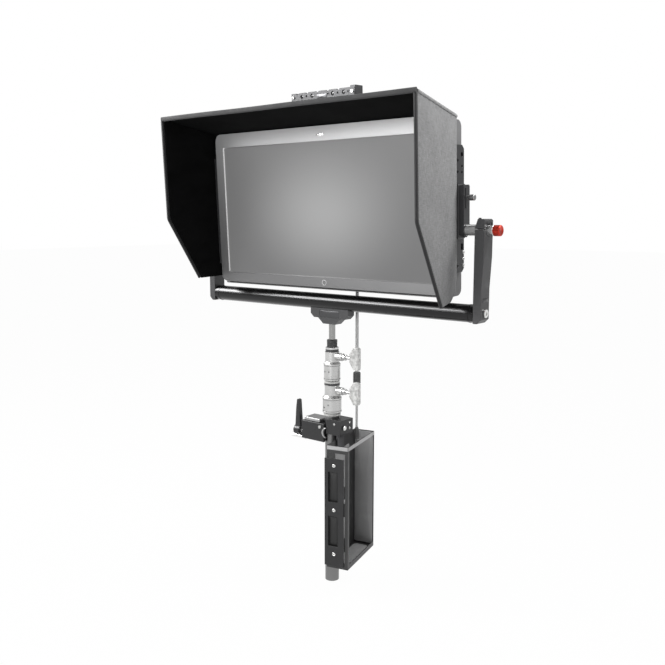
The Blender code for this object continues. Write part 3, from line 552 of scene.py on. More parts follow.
@dataclass(frozen=True)
class WingScrewFinish:
    """One turned screw: a plated stem up to a length along X, and a cloudy nylon wing beyond it."""

    name: str
    change: float = 0.0560
    steel: Colour = (0.55, 0.55, 0.55)
    nylon: Colour = (0.56, 0.56, 0.55)

    def build(self) -> bpy.types.Material:
        """The finish changes where X passes the given length."""
        t = Tree(self.name)
        at = t.place()
        wing = t.part(at, "X").step(self.change - 0.0001, self.change + 0.0001)
        threads = (t.part(at, "X") * 6300.0).maths("SINE")
        cloud = t.noise(t.place(), 130.0, 4.0, 0.6)
        fine = t.noise(t.place(), 1500.0, 2.0)
        nylon = t.mix(cloud.step(0.32, 0.70), shade(self.nylon, 0.72), shade(self.nylon, 1.25))
        steel = t.mix(fine, shade(self.steel, 0.75), shade(self.steel, 1.15))
        return t.finish(
            {
                "Base Color": t.mix(wing, steel, nylon),
                "Metallic": 1.0 - wing,
                "Roughness": wing * 0.16 + (fine - 0.5) * 0.12 + (cloud - 0.5) * 0.12 + 0.22,
                "Subsurface Weight": 0.0,
                "Normal": t.bump(wing * cloud * 6.0 + (1.0 - wing) * threads * 0.5 + fine * 0.3, 0.00006),
            }
        )


@dataclass(frozen=True)
class Finishes:
    """All finishes of the mount, each built once."""

    column: bpy.types.Material
    riser: bpy.types.Material
    pin: bpy.types.Material
    casting: bpy.types.Material
    bumper: bpy.types.Material
    ring: bpy.types.Material
    flange: bpy.types.Material
    wing: bpy.types.Material
    black_metal: bpy.types.Material
    anodised: bpy.types.Material
    arm: bpy.types.Material
    tube: bpy.types.Material
    shaft: bpy.types.Material
    red: bpy.types.Material
    screw: bpy.types.Material
    black_screw: bpy.types.Material
    bezel: bpy.types.Material
    chamfer: bpy.types.Material
    housing: bpy.types.Material
    screen: bpy.types.Material
    cage: bpy.types.Material
    cloth: bpy.types.Material
    hem: bpy.types.Material
    velvet: bpy.types.Material
    binding: bpy.types.Material
    thread: bpy.types.Material
    sheet: bpy.types.Material
    front_sheet: bpy.types.Material
    clamp: bpy.types.Material
    clamp_grey: bpy.types.Material
    cable: bpy.types.Material
    rubber: bpy.types.Material
    plate: bpy.types.Material
    painted_sheen_liner: bpy.types.Material
    insert: bpy.types.Material
    painted_highlight_rail: bpy.types.Material
    painted_groove_shade: bpy.types.Material
    bar: bpy.types.Material


def all_finishes() -> Finishes:
    """Builds every finish once."""
    made = Finishes(
        column=Metal("column_steel", (0.21, 0.21, 0.21), 0.34, Grain.ALONG_Z, 1100.0, 0.16),
        riser=Metal("riser_steel", (0.47, 0.47, 0.465), 0.22, Grain.AROUND_Z, 1600.0, 0.10),
        pin=Metal("pin_steel", (0.33, 0.33, 0.325), 0.20, Grain.AROUND_Z, 1800.0, 0.10),
        casting=Metal("cast_aluminium", (0.55, 0.55, 0.545), 0.34, Grain.EVEN, 900.0, 0.30, 0.00010, 0.20),
        bumper=Plastic("pale_nylon", (0.50, 0.50, 0.49), 0.4, 1500.0),
        ring=Plastic("dark_nylon_ring", (0.045, 0.045, 0.047), 0.35, 1500.0),
        flange=Metal("flange_steel", (0.60, 0.60, 0.60), 0.26, Grain.AROUND_Z, 1600.0, 0.12),
        wing=WingScrewFinish("wing_screw"),
        black_metal=PowderCoat("black_metal", (0.032, 0.032, 0.033), 0.34),
        anodised=Metal("dark_anodised", (0.10, 0.10, 0.105), 0.40, Grain.EVEN, 1500.0, 0.14),
        arm=PowderCoat("arm_anodised", (0.066, 0.066, 0.068), 0.40, 1900.0, 0.00002, 0.2, 0.45),
        tube=PowderCoat(
            "tube_gloss_black", (0.008, 0.008, 0.0085), 0.24, 1700.0, 0.000004, 0.10, 0.9, coat=0.55
        ),
        shaft=Metal("shaft_steel", (0.84, 0.84, 0.83), 0.17, Grain.AROUND_X, 1700.0, 0.08),
        red=Metal("red_anodised", (0.62, 0.055, 0.035), 0.30, Grain.AROUND_X, 1300.0, 0.12),
        screw=Metal("bright_screw", (0.72, 0.72, 0.71), 0.20, Grain.EVEN, 2200.0, 0.14),
        black_screw=Metal("black_screw", (0.05, 0.05, 0.052), 0.30, Grain.EVEN, 2200.0, 0.14),
        # the bezel's finish carries painted light, lighter towards its upper right
        bezel=BezelPaintWithPaintedLight("bezel_paint_painted_light"),
        chamfer=Metal("polished_chamfer", (0.75, 0.75, 0.75), 0.22, Grain.EVEN, 1500.0, 0.08),
        housing=Plastic("rear_housing", (0.165, 0.165, 0.168), 0.46),
        # the screen's finish is a painted glow, in place of the soft reflection on it
        screen=PaintedGlowScreen("screen_painted_glow"),
        cage=PowderCoat("cage_anodised", (0.045, 0.045, 0.047), 0.34, 1900.0, 0.00002, 0.2, 0.45),
        cloth=WovenCloth("heather_cloth", (0.215, 0.215, 0.217)),
        hem=WovenCloth("hem_cloth", (0.024, 0.024, 0.025)),
        velvet=Velvet("black_lining"),
        binding=Tape("black_binding", (0.008, 0.008, 0.0085)),
        thread=Tape("grey_thread", (0.10, 0.10, 0.10), 9000.0),
        sheet=PowderCoat("black_sheet", (0.034, 0.034, 0.0345), 0.42, gloss=0.4),
        front_sheet=PowderCoat("front_sheet", (0.022, 0.022, 0.023), 0.42, 1100.0, 0.00006, gloss=0.35),
        clamp=PowderCoat("clamp_black", (0.022, 0.022, 0.023), 0.30, 900.0, 0.00007, 0.5, 0.2),
        clamp_grey=Metal("clamp_alloy", (0.40, 0.40, 0.40), 0.36, Grain.ALONG_X, 800.0, 0.2),
        cable=Plastic("cable_sheath", (0.42, 0.42, 0.42), 0.40, 900.0, 0.00003),
        rubber=Plastic("cable_rubber", (0.050, 0.050, 0.050), 0.52, 1200.0),
        # grey finish that paints the sheen of the holder's black inner walls
        painted_sheen_liner=PowderCoat("grey_lining_painted_sheen", (0.31, 0.31, 0.312), 0.60, 700.0, 0.00012, 0.15, 0.0, 0.2),
        # near-black finish that paints the shade in the holder's windows
        insert=Plastic("window_painted_shade", (0.007, 0.007, 0.0072), 0.50, 2200.0),
        # pale finish that paints the highlight along the holder's top rim
        painted_highlight_rail=PowderCoat("grey_rail_painted_highlight", (0.40, 0.40, 0.402), 0.42, 1200.0, 0.00005, 0.25),
        # near-black finish for rings that paint the shade in the collars' grooves
        painted_groove_shade=Plastic("dark_groove_painted_shade", (0.018, 0.018, 0.018), 0.55, 1800.0, gloss=0.25),
        plate=Metal("blank_plate", (0.09, 0.09, 0.093), 0.30, Grain.ALONG_X, 1900.0, 0.16),
        bar=Metal("bar_steel", (0.35, 0.35, 0.35), 0.30, Grain.AROUND_X, 1500.0, 0.14),
    )
    built = {name: finish.build() for name, finish in vars(made).items()}
    log.info("%d finishes", len(built))
    return Finishes(**built)


# Surfaces


@dataclass
class Skin:
    """A surface of points on a grid, rows by columns, with a length in metres along each way."""

    points: Array
    loop_rows: bool = False
    loop_cols: bool = False
    finish: int = 0

    def quads(self, start: int) -> Array:
        """Corner numbers of the faces, counted from a start."""
        rows, cols = self.points.shape[:2]
        r = np.arange(rows if self.loop_rows else rows - 1)
        c = np.arange(cols if self.loop_cols else cols - 1)
        at, along = np.meshgrid(r, c, indexing="ij")
        up, on = (at + 1) % rows, (along + 1) % cols
        corners = np.stack([at * cols + along, at * cols + on, up * cols + on, up * cols + along], -1)
        return start + corners.reshape(-1, 4)

    def metres(self) -> Array:
        """For the corners of each face, lengths across and along the surface, from the grid's own steps."""
        rows, cols = self.points.shape[:2]
        shut = np.concatenate([self.points, self.points[:, :1]], axis=1)
        shut = np.concatenate([shut, shut[:1]], axis=0)
        across = np.linalg.norm(np.diff(shut, axis=1), axis=2).mean(axis=0)
        along = np.linalg.norm(np.diff(shut, axis=0), axis=2).mean(axis=1)
        u = np.concatenate([[0.0], np.cumsum(across)])
        v = np.concatenate([[0.0], np.cumsum(along)])
        r = np.arange(rows if self.loop_rows else rows - 1)
        c = np.arange(cols if self.loop_cols else cols - 1)
        at, on = np.meshgrid(r, c, indexing="ij")
        corners = [(at, on), (at, on + 1), (at + 1, on + 1), (at + 1, on)]
        return np.stack([np.stack([u[k], v[i]], -1) for i, k in corners], -2).reshape(-1, 2)


def moved(points: Array, place: Matrix) -> Array:
    """Points carried into the shared frame: p' = R·p + t."""
    m = np.array(place)
    return points @ m[:3, :3].T + m[:3, 3]


def make_piece(
    name: str,
    skins: Sequence[Skin],
    finishes: Sequence[bpy.types.Material],
    body: str,
    place: Matrix = WORLD,
    sharp: float = 38.0,
    stands_for: Sequence[str] = (),
) -> bpy.types.Object:
    """Joins surfaces into one closed mesh that rides on a body.

    Args:
        name: Name of the piece.
        skins: Its surfaces, whose shared edges are merged.
        finishes: Materials, numbered by each surface's own finish.
        body: Body it moves with, or nothing for a piece that rides on no body.
        place: Frame in which the points are given.
        sharp: Angle in degrees above which an edge stays crisp.
        stands_for: Nodes that it replaces.

    Returns:
        The object, at the origin and unturned.
    """
    points, faces, uv, looks, start = [], [], [], [], 0
    for skin in skins:
        flat = skin.points.reshape(-1, 3)
        quads = skin.quads(start)
        points.append(flat)
        faces.append(quads)
        uv.append(skin.metres())
        looks.append(np.full(len(quads), skin.finish))
        start += len(flat)
    mesh = bpy.data.meshes.new(name)
    corners = np.concatenate(faces)
    mesh.from_pydata(moved(np.concatenate(points), place), [], corners)
    layer = mesh.uv_layers.new(name="metres")
    layer.data.foreach_set("uv", np.concatenate(uv).astype(np.float32).ravel())
    mesh.polygons.foreach_set("material_index", np.concatenate(looks).astype(np.int32))
    for material in finishes:
        mesh.materials.append(material)
    bm = bmesh.new()
    bm.from_mesh(mesh)
    bmesh.ops.remove_doubles(bm, verts=bm.verts, dist=2e-6)
    bmesh.ops.dissolve_degenerate(bm, edges=bm.edges, dist=1e-7)
    bmesh.ops.recalc_face_normals(bm, faces=bm.faces)
    bm.to_mesh(mesh)
    bm.free()
    mesh.polygons.foreach_set("use_smooth", np.ones(len(mesh.polygons), dtype=bool))
    mesh.set_sharp_from_angle(angle=math.radians(sharp))
    piece = bpy.data.objects.new(name, mesh)
    bpy.context.scene.collection.objects.link(piece)
    if body:
        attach(piece, body)
    if stands_for:
        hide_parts(*stands_for)
    log.info("%s: %d faces", name, len(mesh.polygons))
    return piece


def spread(count: int, edge: float, near: int = 6) -> Array:
    """Numbers from 0 to 1, crowded within an edge share at both ends.

    Args:
        count: Steps in the middle.
        edge: Share of the length that is crowded at each end.
        near: Steps in each crowded end, spaced as 1 - cos.

    Returns:
        The numbers.
    """
    low = edge * (1 - np.cos(np.linspace(0, math.pi / 2, near + 1)))
    return np.concatenate([low[:-1], np.linspace(edge, 1 - edge, count + 1), 1 - low[-2::-1]])


def rim_distance(points: Array, outline: Array) -> Array:
    """Distance of plane points to the nearest side of an outline.

    Each side a-b is met at a + t·(b - a) with t = clip((p - a)·(b - a) / |b - a|², 0, 1).
    """
    a, b = outline, np.roll(outline, -1, axis=0)
    run = b - a
    to = points[..., None, :] - a
    t = np.clip((to * run).sum(-1) / (run * run).sum(-1), 0, 1)
    return np.linalg.norm(to - t[..., None] * run, axis=-1).min(axis=-1)


def turned(profile: Sequence[tuple[float, float]], at: Sequence[float], axis: Axis, steps: int = 28) -> Skin:
    """A turned surface: radius r and length h of the profile give at + h·n + r·(cos(a)·p + sin(a)·q).

    Args:
        profile: Radius and length of each corner, from one pole to the other.
        at: Where length 0 lies.
        axis: Direction n, with p and q square to it.
        steps: Points around.

    Returns:
        The surface, closed at both poles.
    """
    n = Vector(axis.value)
    p = n.orthogonal().normalized()
    q = n.cross(p)
    a = np.linspace(0, 2 * math.pi, steps, endpoint=False)
    ring = np.outer(np.cos(a), p) + np.outer(np.sin(a), q)
    r, h = np.array(profile).T
    points = np.array(at) + h[:, None, None] * np.array(n) + r[:, None, None] * ring
    return Skin(points, loop_cols=True)


def socket_head(
    at: Sequence[float], axis: Axis, radius: float, height: float, recess: float = 0.55, steps: int = 36
) -> Skin:
    """A round screw head with a hexagon recess.

    Rings outside are circles. In the recess the radius is w / cos(((a + 30°) mod 60°) - 30°), which is the
    hexagon of half width w.

    Args:
        at: Middle of the seat.
        axis: Direction in which it looks.
        radius: Radius of the head.
        height: Height of the head.
        recess: Half width of the hexagon as a share of the radius.
        steps: Points around.

    Returns:
        The surface, closed at both poles.
    """
    n = Vector(axis.value)
    p = n.orthogonal().normalized()
    q = n.cross(p)
    a = np.linspace(0, 2 * math.pi, steps, endpoint=False)
    ring = np.outer(np.cos(a), p) + np.outer(np.sin(a), q)
    hexagon = recess * radius / np.cos((a + math.pi / 6) % (math.pi / 3) - math.pi / 6)
    one = np.ones(steps)
    rows = [
        (0.0 * one, 0.0),
        (radius * one, 0.0),
        (radius * one, height * 0.62),
        (radius * 0.96 * one, height * 0.84),
        (radius * 0.86 * one, height),
        (np.maximum(hexagon * 1.07, 0.0), height),
        (hexagon, height * 0.93),
        (hexagon, height * 0.30),
        (0.0 * one, height * 0.22),
    ]
    points = np.stack([np.array(at) + h * np.array(n) + r[:, None] * ring for r, h in rows])
    return Skin(points, loop_cols=True)


def frames_along(path: Array, up: Sequence[float], closed: bool = False) -> tuple[Array, Array]:
    """Two directions square to a path: side = tangent × up, and over = side × tangent.

    Args:
        path: Points of the path.
        up: Direction that is kept above.
        closed: Whether the path is a loop.

    Returns:
        Side and over at each point.
    """
    if closed:
        tangent = np.roll(path, -1, axis=0) - np.roll(path, 1, axis=0)
    else:
        tangent = np.gradient(path, axis=0)
    tangent = tangent / np.linalg.norm(tangent, axis=1, keepdims=True)
    side = np.cross(tangent, np.array(up, dtype=float))
    side = side / np.linalg.norm(side, axis=1, keepdims=True)
    return side, np.cross(side, tangent)


def carried(
    profile: Array, path: Array, up: Sequence[float], closed: bool = False, scale: Array | None = None
) -> list[Skin]:
    """A closed profile carried along a path: path + s·side + t·over for each corner (s, t).

    Args:
        profile: Corners of the profile, a loop.
        path: Points of the path.
        up: Direction that is kept above.
        closed: Whether the path is a loop.
        scale: Size of the profile at each point of the path.

    Returns:
        The wall, and two ends if the path is open.
    """
    side, over = frames_along(path, up, closed)
    size = np.ones(len(path)) if scale is None else scale
    s = profile[:, 0][None, :, None] * size[:, None, None]
    t = profile[:, 1][None, :, None] * size[:, None, None]
    points = path[:, None] + s * side[:, None] + t * over[:, None]
    wall = Skin(points, loop_rows=closed, loop_cols=True)
    if closed:
        return [wall]
    rims = (points[0], points[-1])
    ends = [np.stack([np.repeat(row.mean(axis=0)[None], len(row), axis=0), row]) for row in rims]
    return [wall] + [Skin(end, loop_cols=True) for end in ends]


def oval(width: float, height: float, power: float = 3.0, steps: int = 20) -> Array:
    """A rounded loop with |s/w|^p + |t/h|^p = 1, w and h being half sizes."""
    a = np.linspace(0, 2 * math.pi, steps, endpoint=False)
    c, s = np.cos(a), np.sin(a)
    x = width / 2 * np.sign(c) * np.abs(c) ** (2 / power)
    y = height / 2 * np.sign(s) * np.abs(s) ** (2 / power)
    return np.stack([x, y], -1)


def polyline(corners: Sequence[Sequence[float]], step: float, round_off: float = 0.0) -> Array:
    """Points along a broken line at an even step, each corner eased over a length.

    A point within the length of a corner is moved to the mean of its neighbours on both sides.
    """
    c = np.array(corners, dtype=float)
    run = np.concatenate([[0.0], np.cumsum(np.linalg.norm(np.diff(c, axis=0), axis=1))])
    at = np.linspace(0, run[-1], max(3, round(run[-1] / step) + 1))

    def where(s: Array) -> Array:
        """Point at a length along the line."""
        s = np.clip(s, 0, run[-1])
        return np.stack([np.interp(s, run, c[:, k]) for k in range(c.shape[1])], -1)

    if not round_off:
        return where(at)
    ease = np.minimum(round_off, np.minimum(at, run[-1] - at))
    offsets = np.linspace(-1, 1, 9)
    return np.mean([where(at + o * ease) for o in offsets], axis=0)


def tablet(
    width: float, height: float, thick: float, corner: float, edge: float, steps: int = 6
) -> tuple[Array, Array]:
    """Rings of a thin rounded plate, as plane points and heights.

    Args:
        width: Full width.
        height: Full height.
        thick: Thickness.
        corner: Radius of the corners.
        edge: Rounding of the front edge.
        steps: Points in each corner.

    Returns:
        Plane points, rings by corners by 2, and the height of each ring.
    """
    a = np.linspace(0, math.pi / 2, steps)
    quarter = np.stack([np.cos(a), np.sin(a)], -1)
    quarters = ([[1, 0], [0, 1]], [[0, -1], [1, 0]], [[-1, 0], [0, -1]], [[0, 1], [-1, 0]])
    turn = [np.array(quarter) for quarter in quarters]
    signs = [(1, 1), (-1, 1), (-1, -1), (1, -1)]
    rings, heights = [], []
    for inset, h in ((0.0, 0.0), (0.0, thick - edge), (edge * 0.3, thick - edge * 0.3), (edge, thick)):
        r = max(corner - inset, 1e-5)
        loop = np.concatenate(
            [
                quarter @ m.T * r + np.array([sx * (width / 2 - inset - r), sy * (height / 2 - inset - r)])
                for m, (sx, sy) in zip(turn, signs)
            ]
        )
        rings.append(loop)
        heights.append(h)
    middle = np.zeros_like(rings[0])
    return np.stack([middle, *rings, middle]), np.array([0.0, *heights, thick])


def plate_skin(
    centre: Sequence[float],
    across: Sequence[float],
    up: Sequence[float],
    sizes: tuple[float, float, float],
    corner: float,
    edge: float,
) -> Skin:
    """A thin rounded plate: centre + s·across + t·up + h·(across × up).

    Args:
        centre: Middle of its back face.
        across: Direction of its width.
        up: Direction of its height.
        sizes: Width, height and thickness.
        corner: Radius of the corners.
        edge: Rounding of the front edge.

    Returns:
        The closed surface.
    """
    rings, heights = tablet(*sizes, corner, edge)
    x, y = np.array(across, dtype=float), np.array(up, dtype=float)
    n = np.cross(x, y)
    points = np.array(centre) + rings[..., :1] * x + rings[..., 1:] * y + heights[:, None, None] * n
    return Skin(points, loop_cols=True)


def repainted(nodes: Sequence[str], material: bpy.types.Material) -> None:
    """Gives nodes of the frame a finish in place of their plain one."""
    for name in nodes:
        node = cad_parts[name]
        for each in node.material_slots:
            each.material = material
        if not node.material_slots:
            node.data.materials.append(material)


# Sub-assemblies


@dataclass
class Hood:
    """Folding hood of three cloth-covered boards with black lining and bound front edges.

    The side boards flare outwards and the top board rises towards the front. Lower front corners are cut on a
    slant.
    """

    finishes: Finishes
    back: float = -0.0145
    front: float = -0.1975
    half_back: float = 0.3500
    half_front: float = 0.3670
    top_back: float = 0.2389
    top_front: float = 0.2775
    thick: float = 0.0050
    hem: float = 0.0070
    lip: float = 0.0105
    crown: float = 0.0016
    under_roof: float = 0.2700
    right_front: tuple = ((0.2725, -0.1975), (0.0260, -0.1975), (-0.1560, -0.0925))
    right_back: tuple = (
        (0.2725, -0.0145),
        (-0.1000, -0.0145),
        (-0.1280, -0.0240),
        (-0.1480, -0.0440),
        (-0.1560, -0.0890),
    )
    left_front: tuple = ((0.2725, -0.1975), (0.0300, -0.1975), (-0.1240, -0.1130))
    left_back: tuple = ((0.2725, -0.0145), (-0.1240, -0.0145))

    def side_x(self, y: Array) -> Array:
        """Outer face of a side board, straight from the back to the front."""
        slope = (self.half_front - self.half_back) / (self.back - self.front)
        return self.half_back + slope * (self.back - y)

    def top_z(self, y: Array) -> Array:
        """Outer face of the top board, straight from the back to the front."""
        return self.top_back + (self.top_front - self.top_back) / (self.back - self.front) * (self.back - y)

    def swell(self, distance: Array, across: Array, along: Array) -> Array:
        """How far the cloth stands out: a crown that grows with the distance to the rim, and slow ripples."""
        full = np.clip(distance / 0.045, 0, 1)
        slow = np.sin(23 * across + 1.3) * np.sin(17 * along + 0.4)
        ripple = 0.35 * slow + 0.20 * np.sin(51 * along + 31 * across)
        return self.crown * full * full * (3 - 2 * full) * (0.55 + ripple)

    def half_board(self, distance: Array) -> Array:
        """Half thickness near a rounded rim: h·sqrt(1 - (1 - d/h)²) up to d = h."""
        h = self.thick / 2
        return h * np.sqrt(np.clip(1 - (1 - np.clip(distance / h, 0, 1)) ** 2, 0, 1))

    def side_board(self, word: str, side: int, front: tuple, back: tuple, rim: float) -> bpy.types.Object:
        """One side board.

        For each height z the depth runs from the front line to the back line, y = f(z)·(1 - u) + b(z)·u, and
        x = side·(outer face - half thickness ± half(rim distance)), plus the crown of the cloth outside.

        Args:
            word: Left or right.
            side: -1 or 1.
            front: Height and depth of the front line's corners.
            back: The same of the back line.
            rim: How far the board starts behind the bound edge.

        Returns:
            The piece.
        """
        fz, fy = np.array(front).T
        bz, by = np.array(back).T
        drop = self.thick + 0.0003
        corners = sorted(set(list(fz) + list(bz)))
        runs = [np.linspace(a, b, max(3, int((b - a) / 0.006))) for a, b in zip(corners, corners[1:])]
        base = np.unique(np.concatenate(runs))
        low, high = base[0], base[-1]
        ends = 0.003 * (1 - np.cos(np.linspace(0, math.pi / 2, 6)))
        z = np.unique(np.round(np.concatenate([base, low + ends, high - ends]), 7))
        u = spread(26, 0.03)
        slant = np.interp(-z, -fz, fy) + rim
        rear = np.interp(-z, -bz, by)
        slant = np.minimum(slant, rear - 0.002)
        y = slant[:, None] * (1 - u) + rear[:, None] * u
        roof = self.top_z(y) - drop
        tall = (z[:, None] - low) / (high - low)
        height = low + tall * (roof - low)
        ring = [*front, *back[::-1]]
        outline = np.array([(a, self.top_z(a) - drop if b > self.under_roof else b) for b, a in ring])
        outline[: len(front), 0] += rim
        plane = np.stack([y, height], -1)
        far = rim_distance(plane, outline)
        far[:, 0] = far[:, -1] = far[0] = far[-1] = 0.0
        half = self.half_board(far)
        middle = self.side_x(y) - self.thick / 2
        puff = self.swell(far, y, height)
        outer = np.stack([side * (middle + half + puff), y, height], -1)
        inner = np.stack([side * (middle - half - 0.25 * puff), y, height], -1)
        piece = make_piece(
            f"hood_board_{word}",
            [Skin(outer, finish=0), Skin(inner, finish=1)],
            [self.finishes.cloth, self.finishes.velvet],
            "display",
            ROCK,
            60.0,
            [f"hood_{word}"],
        )
        return piece

    def top_board(self) -> bpy.types.Object:
        """The top board: z follows its slope, x runs between the side faces, and the rim is rounded.

        Returns:
            The piece.
        """
        y = self.front + self.hem + 0.0003 + (self.back - self.front - self.hem - 0.0003) * spread(30, 0.03)
        s = spread(70, 0.008)
        across = (2 * s - 1)[None, :] * (self.side_x(y)[:, None])
        depth = np.repeat(y[:, None], len(s), axis=1)
        ends = ((-1, y[0]), (1, y[0]), (1, y[-1]), (-1, y[-1]))
        outline = np.array([(side * self.side_x(at), at) for side, at in ends])
        far = rim_distance(np.stack([across, depth], -1), outline)
        half = self.half_board(far)
        middle = self.top_z(depth) - self.thick / 2
        puff = self.swell(far, across, depth)
        outer = np.stack([across, depth, middle + half + 0.4 * puff], -1)
        inner = np.stack([across, depth, middle - half - 0.5 * puff], -1)
        piece = make_piece(
            "hood_board_top",
            [Skin(outer, finish=0), Skin(inner, finish=1)],
            [self.finishes.cloth, self.finishes.velvet],
            "display",
            ROCK,
            60.0,
            ["hood_top"],
        )
        return piece

    def front_hem(self) -> bpy.types.Object:
        """The turned front hem of the top board: an oval carried from one side to the other, with a slight wave.

        Returns:
            The piece.
        """
        x = np.linspace(-self.half_front + 0.0002, self.half_front - 0.0002, 110)
        y = self.front + 0.5 * self.hem + 0 * x
        z = self.top_front - 0.5 * self.lip - 0.0004 + 0.0003 * np.sin(19 * x)
        path = np.stack([x, y, z], -1)
        piece = make_piece(
            "hood_front_hem",
            carried(oval(self.hem - 0.0012, self.lip, 3.4, 24), path, (0, 0, 1)),
            [self.finishes.hem],
            "display",
            ROCK,
            50.0,
            ["hood_hem_top"],
        )
        return piece

    def edge_path(self, front: tuple, side: int, inset: float) -> Array:
        """Middle of the bound front edge, from the top to the tip, moved inwards from the line."""
        highest = self.top_front - self.lip - 0.0004
        corners = [(side * (self.side_x(y) - self.thick / 2), y, min(z, highest)) for z, y in front]
        path = polyline(corners, 0.004, 0.006)
        tangent = np.gradient(path[:, 1:], axis=0)
        tangent /= np.linalg.norm(tangent, axis=1, keepdims=True)
        inwards = np.stack([0 * tangent[:, 0], -tangent[:, 1], tangent[:, 0]], -1)
        return path + inset * inwards

    def edge_binding(self, word: str, side: int, front: tuple) -> bpy.types.Object:
        """Black tape folded round a side board's front edge: an oval carried down the edge.

        Args:
            word: Left or right.
            side: -1 or 1.
            front: Height and depth of the edge's corners.

        Returns:
            The piece.
        """
        path = self.edge_path(front, side, self.hem / 2)
        piece = make_piece(
            f"hood_edge_{word}",
            carried(oval(self.thick + 0.0008, self.hem, 4.0, 20), path, (0, -1, -0.3)),
            [self.finishes.binding],
            "display",
            ROCK,
            50.0,
            [f"hood_binding_{word}"],
        )
        return piece

    def corner_roll(self, word: str, side: int) -> bpy.types.Object:
        """Cloth hinge along the corner between the top and a side: a thin roll carried from front to back.

        Args:
            word: Left or right.
            side: -1 or 1.

        Returns:
            The piece.
        """
        y = np.linspace(self.front + 0.0090, self.back - 0.0020, 50)
        path = np.stack([side * (self.side_x(y) - 0.0002), y, self.top_z(y) - self.thick - 0.0004], -1)
        piece = make_piece(
            f"hood_corner_{word}",
            carried(oval(0.0042, 0.0060, 2.4, 14), path, (0, 0, 1)),
            [self.finishes.cloth],
            "display",
            ROCK,
            50.0,
        )
        return piece

    def stitches(self, word: str, paths: Sequence[tuple[Array, Array]]) -> bpy.types.Object:
        """Rows of stitches, each a small six-sided thread laid along its row.

        A stitch is c + a·t·cos(w) + b·(n·cos(v) + m·sin(v))·sin(w), a short ellipsoid along the row's
        direction t.

        Args:
            word: Name of the row.
            paths: Middle line and outward direction of each row.

        Returns:
            The piece, one mesh for all stitches.
        """
        w = np.linspace(0, math.pi, 5)
        v = np.linspace(0, 2 * math.pi, 6, endpoint=False)
        skins = []
        for line, out in paths:
            run = np.concatenate([[0.0], np.cumsum(np.linalg.norm(np.diff(line, axis=0), axis=1))])
            at = np.arange(0.004, run[-1] - 0.004, 0.0058)
            c = np.stack([np.interp(at, run, line[:, k]) for k in range(3)], -1)
            t = np.stack([np.interp(at + 0.001, run, line[:, k]) for k in range(3)], -1) - c
            t /= np.linalg.norm(t, axis=1, keepdims=True)
            m = np.cross(t, out)
            ring = out * np.cos(v)[:, None] + 0 * v[:, None]
            around = ring[None, None] + m[:, None, None] * np.sin(v)[None, None, :, None]
            body = (
                c[:, None, None]
                + 0.0020 * t[:, None, None] * np.cos(w)[None, :, None, None]
                + 0.00042 * around * np.sin(w)[None, :, None, None]
            )
            skins += [Skin(one, loop_cols=True) for one in body]
        thread = self.finishes.thread
        return make_piece(f"hood_stitches_{word}", skins, [thread], "display", ROCK, 80.0)

    def build(self) -> None:
        """Makes every piece of the hood."""
        self.side_board("right", 1, self.right_front, self.right_back, self.hem + 0.0003)
        self.side_board("left", -1, self.left_front, self.left_back, self.hem + 0.0003)
        self.top_board()
        self.front_hem()
        rows = []
        for word, side, front in (("right", 1, self.right_front), ("left", -1, self.left_front)):
            self.edge_binding(word, side, front)
            self.corner_roll(word, side)
            line = self.edge_path(front, side, self.hem - 0.0012)
            out = np.array([side, 0.0, 0.0])
            rows.append((line + out * (self.thick / 2 + 0.00045), out))
        self.stitches("sides", rows)
        x = np.linspace(-self.half_front + 0.006, self.half_front - 0.006, 100)
        y = self.front + self.hem + 0.0035
        out = np.array([0.0, 0.0, 1.0])
        top = np.stack([x, 0 * x + y, 0 * x + self.top_z(y) + 0.00025], -1)
        self.stitches("top", [(top, out)])


